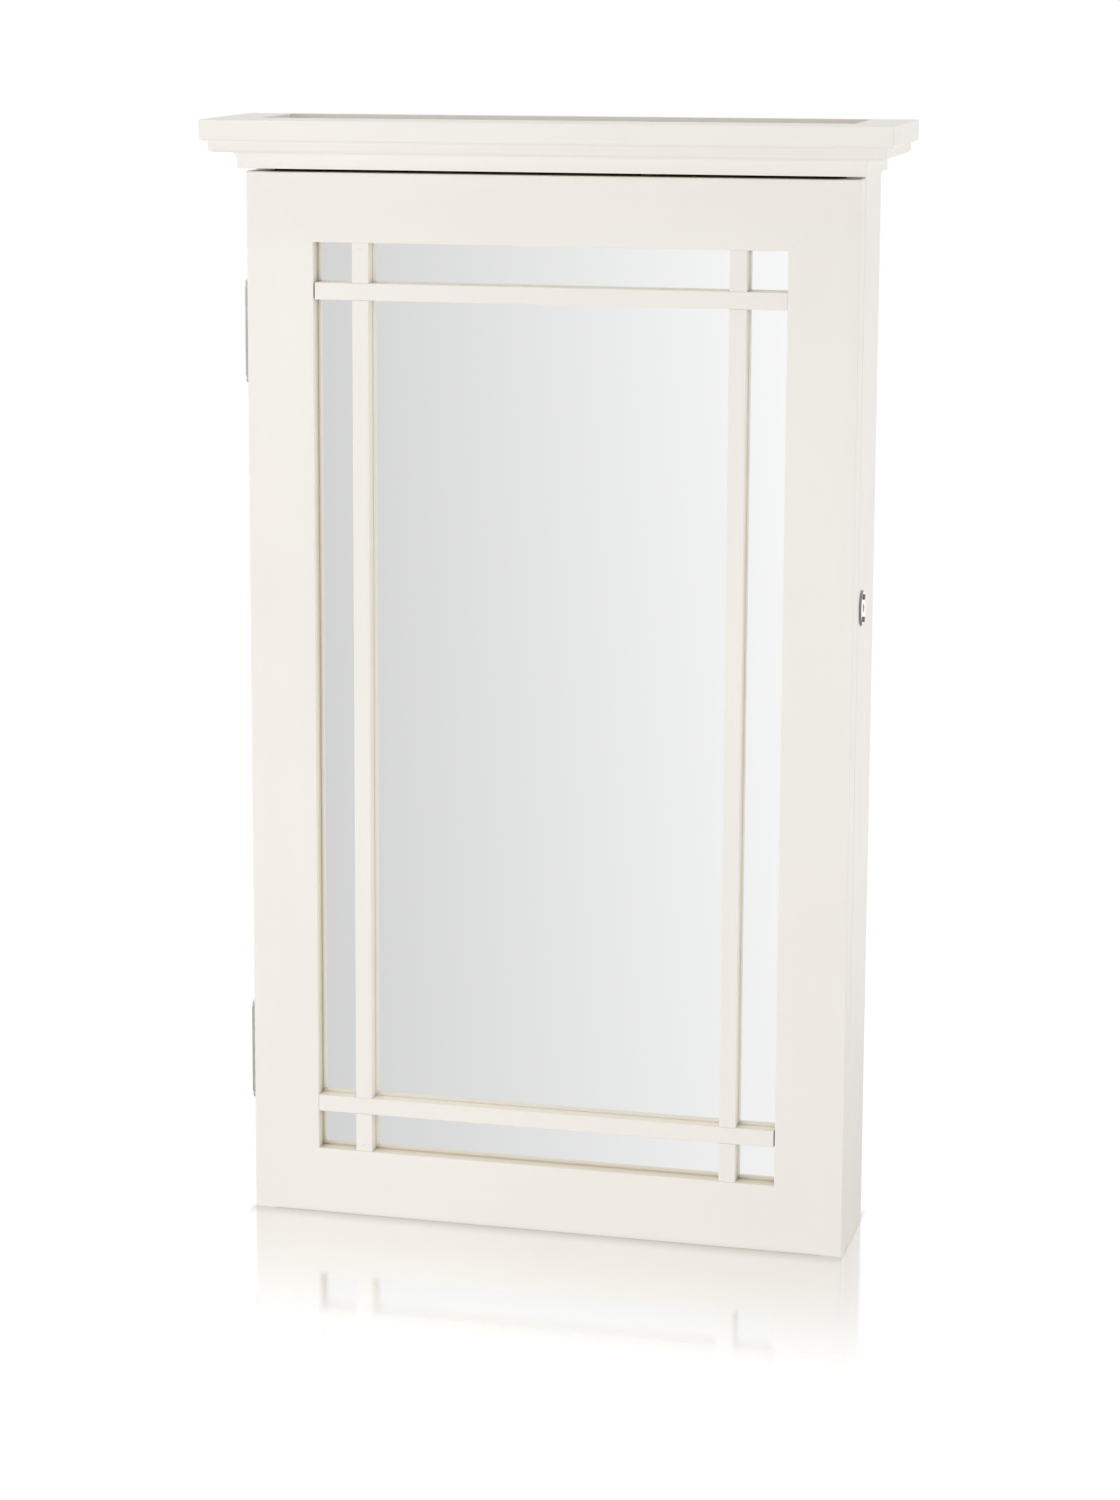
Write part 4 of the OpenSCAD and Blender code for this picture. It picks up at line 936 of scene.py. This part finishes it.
def hook_line(s, low, end):
    """Middle line of a hook, (0, y, z), and its radius along the line.

    A level shank goes by a small arc into the large arc of the bend, and at the tip the radius is
    that of a ball, sqrt(R R - d d) at d from the ball's middle."""
    level = low[2] + s.hook_bend + s.hook_r
    centre = low[1] + s.hook_bend + s.hook_r
    reach = s.hook_bend + s.hook_neck
    neck_y = centre + np.sqrt(reach ** 2 - s.hook_neck ** 2)
    lean = np.degrees(np.arcsin(s.hook_neck / reach))
    shank = np.stack([np.linspace(end, neck_y, 6), np.full(6, level)], -1)
    neck = arc(neck_y, level - s.hook_neck, s.hook_neck, s.hook_neck, 90, 180 - lean, 8)
    stop = np.degrees(-s.hook_turn - s.hook_ball / s.hook_bend)
    bend = arc(centre, level, s.hook_bend, s.hook_bend, -lean, stop, 48)
    flat = np.concatenate([shank[:-1], neck[:-1], bend])
    run = np.concatenate([[0.0], np.cumsum(np.linalg.norm(np.diff(flat, axis=0), axis=1))])
    tip = run[-1] - s.hook_ball * (1 + np.cos(np.linspace(0.15, np.pi, 16)))
    fine = np.concatenate([np.linspace(0.0, run[-1] - 2 * s.hook_ball, 60), tip])
    path = np.stack([np.zeros_like(fine), np.interp(fine, run, flat[:, 0]),
                     np.interp(fine, run, flat[:, 1])], -1)
    ball = np.sqrt(np.maximum(s.hook_ball ** 2 - (fine - run[-1] + s.hook_ball) ** 2, 0.0))
    return path, np.where(fine > run[-1] - s.hook_ball, ball, np.maximum(ball, s.hook_r))


class ARMOIRE_OT_hooks(bpy.types.Operator):
    """Bends the row of necklace hooks, each with its ball tip and screw flange"""

    bl_idname = "armoire.hooks"
    bl_label = "Necklace hooks"

    def execute(self, context):
        s = context.scene.armoire_sizes
        low, high = low_high("necklace_hooks")
        wall = low_high("wall_rail_upper")[0][1]
        path, radius = hook_line(s, low, high[1])
        level = path[0][2]
        first, flange = low[0] + s.hook_flange, s.hook_flange
        pitch = (high[0] - low[0] - 2 * flange) / (s.hook_count - 1)
        edge, edge_r, thick, fillet = 0.3 * MM, 0.9 * MM, 1.6 * MM, 0.4 * MM
        plate = np.concatenate([
            [[0.0, 0.0], [flange, 0.0]], arc(flange - edge_r, edge, edge_r, edge_r, 0, 90),
            [[s.hook_r + fillet, thick - fillet], [s.hook_r, thick], [0.0, thick]]])
        shells = []
        for k in range(s.hook_count):
            x = first + k * pitch
            shells.append(wire(path + [x, 0.0, 0.0], radius, (1.0, 0.0, 0.0)))
            shells.append(turned(plate, (x, wall, level), (0.0, -1.0, 0.0), 32))
        piece("hooks", shells, finishes()["nickel_y"], "necklace_hooks", sharp=50.0)
        return {"FINISHED"}


class ARMOIRE_OT_bracelet_bar(bpy.types.Operator):
    """Turns the bracelet bar and the flanged sockets that hold it"""

    bl_idname = "armoire.bracelet_bar"
    bl_label = "Bracelet bar"

    def execute(self, context):
        low, high = low_high("bracelet_bar")
        r, middle = (high[2] - low[2]) / 2, (low + high) / 2
        ends = [[0.0, low[0]], [r, low[0]], [r, high[0]], [0.0, high[0]]]
        piece("bar_for_bracelets", [turned(ends, (0.0, middle[1], middle[2]), (1.0, 0.0, 0.0))],
              finishes()["nickel_x"], "bracelet_bar", ease=context.scene.armoire_sizes.metal_ease)
        low, high = low_high("bracelet_sockets")
        outer, thick, bottom, play = (high[2] - low[2]) / 2, 5 * MM, 2 * MM, 0.05 * MM
        rim_r, rim_z, waist_r = 0.8 * MM, 0.9 * MM, 1.7 * MM
        inner = outer - rim_r - waist_r
        cup = np.concatenate([
            [[0.0, 0.0], [outer, 0.0]], arc(outer - rim_r, rim_z, rim_r, rim_r, 0, 90),
            arc(outer - rim_r, rim_z + rim_r + waist_r, waist_r, waist_r, 270, 180),
            arc(inner - rim_r, thick - rim_r, rim_r, rim_r, 0, 90),
            [[r + play, thick], [r + play, bottom], [0.0, bottom]]])
        shells = [turned(cup, (low[0], middle[1], middle[2]), (1.0, 0.0, 0.0)),
                  turned(cup, (high[0], middle[1], middle[2]), (-1.0, 0.0, 0.0))]
        piece("sockets", shells, finishes()["nickel_x"], "bracelet_sockets", sharp=45.0)
        return {"FINISHED"}


class ARMOIRE_OT_hinges(bpy.types.Operator):
    """Finishes both hinges: leaves, pins with ball tips, and screws"""

    bl_idname = "armoire.hinges"
    bl_label = "Hinges"

    def execute(self, context):
        s, nickel = context.scene.armoire_sizes, finishes()
        for node in ("hinge_case_leaves", "hinge_door_leaves"):
            refined(node, nickel["nickel_z"], s.metal_ease)
        for node in ("hinge_case_screws", "hinge_door_screws"):
            refined(node, nickel["nickel_x"], s.metal_ease)
        low, high = low_high("hinge_pins")
        leaf_top = low_high("hinge_case_leaves")[1][2]
        axis = (low + high) / 2
        tip_r = (high[0] - low[0]) / 2
        tip = high[2] - leaf_top
        neck, collar, gap = 0.9 * MM, 0.6 * MM, 0.2 * MM
        stem = np.concatenate([
            arc(0.0, -tip + tip_r, tip_r, tip_r, -90, 20), [[0.75 * tip_r, -neck]],
            [[tip_r, -collar], [tip_r, -gap], [s.pin_r, -gap]]])
        pin = np.concatenate([stem, [[0.0, s.hinge_len]] + stem[::-1] * [1.0, -1.0]])
        pins = [turned(pin, (axis[0], axis[1], end), (0.0, 0.0, 1.0), 32)
                for end in (low[2] + tip, leaf_top - s.hinge_len)]
        piece("pins", pins, nickel["nickel_z"], "hinge_pins", sharp=50.0)
        return {"FINISHED"}


class ARMOIRE_OT_catch(bpy.types.Operator):
    """Finishes the magnetic catch, its strike and the soft buffers"""

    bl_idname = "armoire.catch"
    bl_label = "Catch and buffers"

    def execute(self, context):
        s, made = context.scene.armoire_sizes, finishes()
        refined("catch_body", made["plastic"], s.catch_ease)
        refined("catch_magnet", made["magnet"], s.magnet_ease)
        refined("catch_strike", made["nickel_z"], s.metal_ease)
        low, high = low_high("buffers")
        thick, r = high[1] - low[1], (high[0] - low[0]) / 2
        shoulder = arc(r - 0.6 * thick, 0.3 * thick, 0.6 * thick, 0.7 * thick, 0, 90)
        dome = np.concatenate([[[0.0, 0.0], [r, 0.0]], shoulder, [[0.0, thick]]])
        middle = (low + high) / 2
        shells = [turned(dome, (middle[0], high[1], z), (0.0, -1.0, 0.0), 32)
                  for z in (low[2] + r, high[2] - r)]
        piece("soft_buffers", shells, made["rubber"], "buffers", sharp=50.0)
        return {"FINISHED"}


class ARMOIRE_OT_lock(bpy.types.Operator):
    """Finishes the lock, its keyhole plate, the hook cam and the keeper on the door"""

    bl_idname = "armoire.lock"
    bl_label = "Lock"

    def execute(self, context):
        s, made = context.scene.armoire_sizes, finishes()
        refined("lock_body", made["nickel_z"], s.lock_ease)
        refined("keyhole_plate", made["bright"], s.plate_ease)
        refined("keyhole_plate_screws", made["aged"], s.metal_ease)
        for node in ("lock_screws", "cam_screw"):
            refined(node, made["nickel_x"], s.metal_ease)
        refined("lock_hub", made["steel"], s.metal_ease)
        for node in ("lock_cam", "lock_keeper"):
            refined(node, made["nickel_z"], s.metal_ease)
        refined("keeper_screws", made["nickel_y"], s.metal_ease)
        return {"FINISHED"}


class ARMOIRE_OT_door_frame(bpy.types.Operator):
    """Finishes the door's mitred stiles and rails"""

    bl_idname = "armoire.door_frame"
    bl_label = "Door frame"

    def execute(self, context):
        s, paint = context.scene.armoire_sizes, finishes()
        rim = (s.door_round, -low_high("hinge_stile")[0])
        for node in ("hinge_stile", "lock_stile"):
            refined(node, paint["paint_z"], s.door_ease, rim)
        for node in ("top_rail", "bottom_rail"):
            refined(node, paint["paint_x"], s.door_ease, rim)
        return {"FINISHED"}


class ARMOIRE_OT_grille(bpy.types.Operator):
    """Finishes the grille of half-lapped bars over the mirror"""

    bl_idname = "armoire.grille"
    bl_label = "Grille"

    def execute(self, context):
        s, paint = context.scene.armoire_sizes, finishes()
        refined("grille_bar_left", paint["paint_nailed"], s.door_ease)
        refined("grille_bar_right", paint["paint_z"], s.door_ease)
        for node in ("grille_bar_upper", "grille_bar_lower"):
            refined(node, paint["paint_x"], s.door_ease)
        return {"FINISHED"}


class ARMOIRE_OT_mirror(bpy.types.Operator):
    """Makes the mirror with its ground edges, the board behind it and the beads"""

    bl_idname = "armoire.mirror"
    bl_label = "Mirror"

    def execute(self, context):
        s, made = context.scene.armoire_sizes, finishes()
        glass = eased_block(*low_high("mirror"), s.glass_ease)
        piece("mirror_glass", [glass], made["mirror"], "mirror", sharp=20.0)
        board = eased_block(*low_high("mirror_backing"), s.wood_ease)
        piece("backing_board", [board], made["hardboard"], "mirror_backing")
        refined("mirror_beads", made["paint_z"], s.wood_ease)
        return {"FINISHED"}


class ARMOIRE_OT_earring_rack(bpy.types.Operator):
    """Finishes the notched earring rails and their posts"""

    bl_idname = "armoire.earring_rack"
    bl_label = "Earring rack"

    def execute(self, context):
        s, paint = context.scene.armoire_sizes, finishes()
        refined("earring_rails", paint["paint_x"], s.rack_ease)
        refined("earring_posts", paint["paint_z"], s.wood_ease)
        return {"FINISHED"}


def lamp(name, power, place, target, size):
    """A large soft white lamp at place, turned to target."""
    data = bpy.data.lights.new(name, "AREA")
    data.energy, data.size = power, size
    made = bpy.data.objects.new(name, data)
    made.location = place
    made.rotation_euler = (Vector(target) - Vector(place)).to_track_quat("-Z", "Y").to_euler()
    made.visible_glossy = False
    bpy.context.scene.collection.objects.link(made)


class ARMOIRE_OT_stage(bpy.types.Operator):
    """Sets the camera, the polished white floor, the soft lamps and the pale surroundings"""

    bl_idname = "armoire.stage"
    bl_label = "Stage"

    def execute(self, context):
        g = context.scene.armoire_stage
        self.camera(context, g)
        self.floor(g)
        self.sky(context, g)
        middle = (0.0, -0.05, 0.0)
        lamp("Key", g.key, (-1.6, -2.4, 0.2), middle, 1.0)
        lamp("Fill", g.fill, (2.4, -0.25, 0.2), middle, 1.0)
        lamp("Top", g.top, (0.0, -0.4, 2.5), middle, 1.6)
        context.scene.view_settings.view_transform = "Standard"
        return {"FINISHED"}

    def camera(self, context, g):
        """Places the camera at target + distance back, back given by azimuth and elevation."""
        back = Vector((sin(g.azimuth) * cos(g.elevation), -cos(g.azimuth) * cos(g.elevation),
                       sin(g.elevation)))
        data = bpy.data.cameras.new("Camera")
        data.lens, data.sensor_width = g.lens, 36.0
        data.shift_x, data.shift_y = g.shift_x, g.shift_y
        data.clip_start, data.clip_end = 0.05, 100.0
        made = bpy.data.objects.new("Camera", data)
        target = Vector((g.target_x, g.target_y, g.target_z))
        turn = (-back).to_track_quat("-Z", "Y").to_matrix().to_4x4() @ Matrix.Rotation(g.roll, 4, "Z")
        made.matrix_world = Matrix.Translation(target + back * g.distance) @ turn
        context.scene.collection.objects.link(made)
        context.scene.camera = made

    def floor(self, g):
        """A wide floor under the case, polished near the object."""
        half, level = g.floor_half, CAD_BOX[0].z + g.floor_rise
        corners = [(x * half, y * half, level) for x, y in ((-1, -1), (1, -1), (1, 1), (-1, 1))]
        mesh = bpy.data.meshes.new("Floor")
        mesh.from_pydata(corners, [], [(0, 1, 2, 3)])
        made = bpy.data.objects.new("Floor", mesh)
        bpy.context.scene.collection.objects.link(made)
        mesh.materials.append(self.floor_material(g))

    def floor_material(self, g):
        """White floor: polished beside the object, plain further out, a sweep of tone in the mirror."""
        made, w = start_material("Polished floor", "floor")
        axes = w.axes(w.place())
        ray = w.add("ShaderNodeLightPath").outputs
        matt = w.add("ShaderNodeBsdfDiffuse", {"Color": shade(g.floor, 1.0)}).outputs[0]
        indirect = w.math("MAXIMUM", ray["Is Glossy Ray"], ray["Is Transmission Ray"])
        shown = w.coat(indirect, self.seen_floor(w, g, axes), w.glow(self.mirrored_tone(w, g, axes)))
        whole = w.coat(ray["Is Diffuse Ray"], shown, matt)
        w.add("ShaderNodeOutputMaterial", {"Surface": whole})
        made.cycles.emission_sampling = "NONE"
        return made

    def seen_floor(self, w, g, axes):
        """The floor as the camera sees it, by its distance from the footprint of the case and door."""
        corner = low_high("hinge_stile")[0]
        wide = w.math("MAXIMUM", w.math("SUBTRACT", w.math("ABSOLUTE", axes["X"]), -corner[0]), 0.0)
        front = w.math("SUBTRACT", corner[1], axes["Y"])
        away = w.flat_length(wide, w.math("MAXIMUM", w.math("MAXIMUM", front, axes["Y"]), 0.0))
        near = w.span(away, 0.0, g.polish_reach, g.polish, 0.0, "SMOOTHSTEP")
        open_floor = w.span(away, 0.2 * g.shade_reach, g.shade_reach, 0.0, 1.0, "SMOOTHSTEP")
        shaded = w.add("ShaderNodeBsdfDiffuse", {"Color": shade(g.floor, 0.25)}).outputs[0]
        lit = w.add("ShaderNodeAddShader", {0: shaded, 1: w.glow(g.floor_lift)}).outputs[0]
        lit = w.coat(open_floor, lit, w.glow(1.0))
        gloss = w.add("ShaderNodeBsdfGlossy", {"Color": WHITE, "Roughness": g.polish_rough}).outputs[0]
        facing = w.add("ShaderNodeLayerWeight", {"Blend": 0.5}).outputs["Facing"]
        from_above, from_the_side, most = 0.20, 0.66, 0.99
        share = w.math("MULTIPLY", w.span(facing, from_above, from_the_side, 0.0, most), near)
        seen = w.coat(share, lit, gloss)
        under = w.math("MULTIPLY", w.span(away, 0.0, g.contact_reach, g.contact, 0.0, "SMOOTHSTEP"),
                       w.span(wide, 0.0, 2 * MM, 1.0, 0.0))
        return w.coat(under, seen, w.glow(1.0, shade(g.contact_tone, 1.0)))

    def mirrored_tone(self, w, g, axes):
        """Tone of the floor in the mirror and in other glossy surfaces.

        From the camera's image behind the glass, a place on the floor is seen through the glass at
        (x, z), and its tone is level + right x + up z + corner x z. Far off the tone is front_tone, and
        behind the glass it rises from the case to the backdrop."""
        glass_y = low_high("mirror")[0][1]
        half_wide, half_high = 0.20, 0.35
        nearest, far_start, far_end = 0.5, 11.0, 32.0
        eye = self.mirrored_eye(g, glass_y)
        inverse = w.math("DIVIDE", 1.0, w.math("MAXIMUM", w.math("SUBTRACT", eye.y, axes["Y"]), nearest))
        across = w.math("MULTIPLY", w.math("SUBTRACT", axes["X"], eye.x), inverse)
        x = w.math("ADD", w.math("MULTIPLY", across, eye.y - glass_y), eye.x)
        x = w.math("MAXIMUM", w.math("MINIMUM", x, half_wide), -half_wide)
        drop = (eye.z - CAD_BOX[0].z) * (eye.y - glass_y)
        z = w.math("SUBTRACT", eye.z, w.math("MULTIPLY", inverse, drop))
        z = w.math("MAXIMUM", w.math("MINIMUM", z, half_high), -half_high)
        level, right, up, corner = g.sweep
        tone = w.math("ADD", w.math("MULTIPLY", x, right), w.math("MULTIPLY", z, up))
        tone = w.math("ADD", tone, w.math("MULTIPLY", w.math("MULTIPLY", x, z), corner))
        tone = w.math("ADD", tone, level)
        is_behind = w.math("GREATER_THAN", axes["Y"], glass_y - 1.5 * MM)
        (by_case, dark), (by_backdrop, pale) = (0.08, 0.55), (0.75, 1.05)
        tone = w.blend(is_behind, tone, w.span(axes["Y"], by_case, by_backdrop, dark, pale))
        return w.blend(w.span(inverse, 1 / far_end, 1 / far_start, 1.0, 0.0), tone, g.front_tone)

    def mirrored_eye(self, g, glass_y):
        """The stage's main viewpoint, mirrored in the glass."""
        level = g.distance * cos(g.elevation)
        x, y = g.target_x + level * sin(g.azimuth), g.target_y - level * cos(g.azimuth)
        return Vector((x, 2 * glass_y - y, g.target_z + g.distance * sin(g.elevation)))

    def sky(self, context, g):
        """White to the camera, and soft light to the object.

        Gloss and glass see it white too, and a little darker towards the room before the case."""
        world = bpy.data.worlds.new("Studio")
        world.use_nodes = True
        context.scene.world = world
        w = Wires(world.node_tree)
        ray = w.add("ShaderNodeLightPath").outputs
        shown = w.math("MAXIMUM", ray["Is Glossy Ray"], ray["Is Transmission Ray"])
        shown = w.math("MAXIMUM", shown, ray["Is Camera Ray"])
        way = w.axes(w.add("ShaderNodeTexCoord").outputs["Generated"])["Y"]
        studio = w.span(way, -0.7, -0.2, g.front_tone, 1.0)
        seen = w.span(ray["Is Camera Ray"], 0.0, 1.0, studio, 1.0)
        level = w.blend(shown, g.sky, seen)
        back = w.add("ShaderNodeBackground", {"Color": WHITE, "Strength": level})
        w.add("ShaderNodeOutputWorld", {"Surface": back.outputs[0]})
        world.cycles.sampling_method = "NONE"


PIECES = (
    ARMOIRE_OT_crown, ARMOIRE_OT_case, ARMOIRE_OT_lining, ARMOIRE_OT_shelves, ARMOIRE_OT_ring_rolls,
    ARMOIRE_OT_hooks, ARMOIRE_OT_bracelet_bar, ARMOIRE_OT_hinges, ARMOIRE_OT_catch, ARMOIRE_OT_lock,
    ARMOIRE_OT_door_frame, ARMOIRE_OT_grille, ARMOIRE_OT_mirror, ARMOIRE_OT_earring_rack, ARMOIRE_OT_stage,
)


class ARMOIRE_PT_panel(bpy.types.Panel):
    """Lists the armoire's pieces and settings in the 3D view's sidebar"""

    bl_label = "Jewelry Armoire"
    bl_space_type = "VIEW_3D"
    bl_region_type = "UI"
    bl_category = "Armoire"

    def draw(self, context):
        for operator in PIECES:
            self.layout.operator(operator.bl_idname)
        for group_name in GROUPS:
            group = getattr(context.scene, group_name)
            box = self.layout.box()
            for name in group.__annotations__:
                box.prop(group, name)


GROUPS = {"armoire_colours": ArmoireColours, "armoire_sizes": ArmoireSizes, "armoire_stage": ArmoireStage}
CLASSES = (*GROUPS.values(), *PIECES, ARMOIRE_PT_panel)


def register():
    for kind in CLASSES:
        bpy.utils.register_class(kind)
    for name, group in GROUPS.items():
        setattr(bpy.types.Scene, name, PointerProperty(type=group))


def unregister():
    for name in GROUPS:
        delattr(bpy.types.Scene, name)
    for kind in reversed(CLASSES):
        bpy.utils.unregister_class(kind)


def main():
    """Makes every piece in order."""
    register()
    for operator in PIECES:
        area, name = operator.bl_idname.split(".")
        getattr(getattr(bpy.ops, area), name)()


if __name__ == "__main__":
    main()
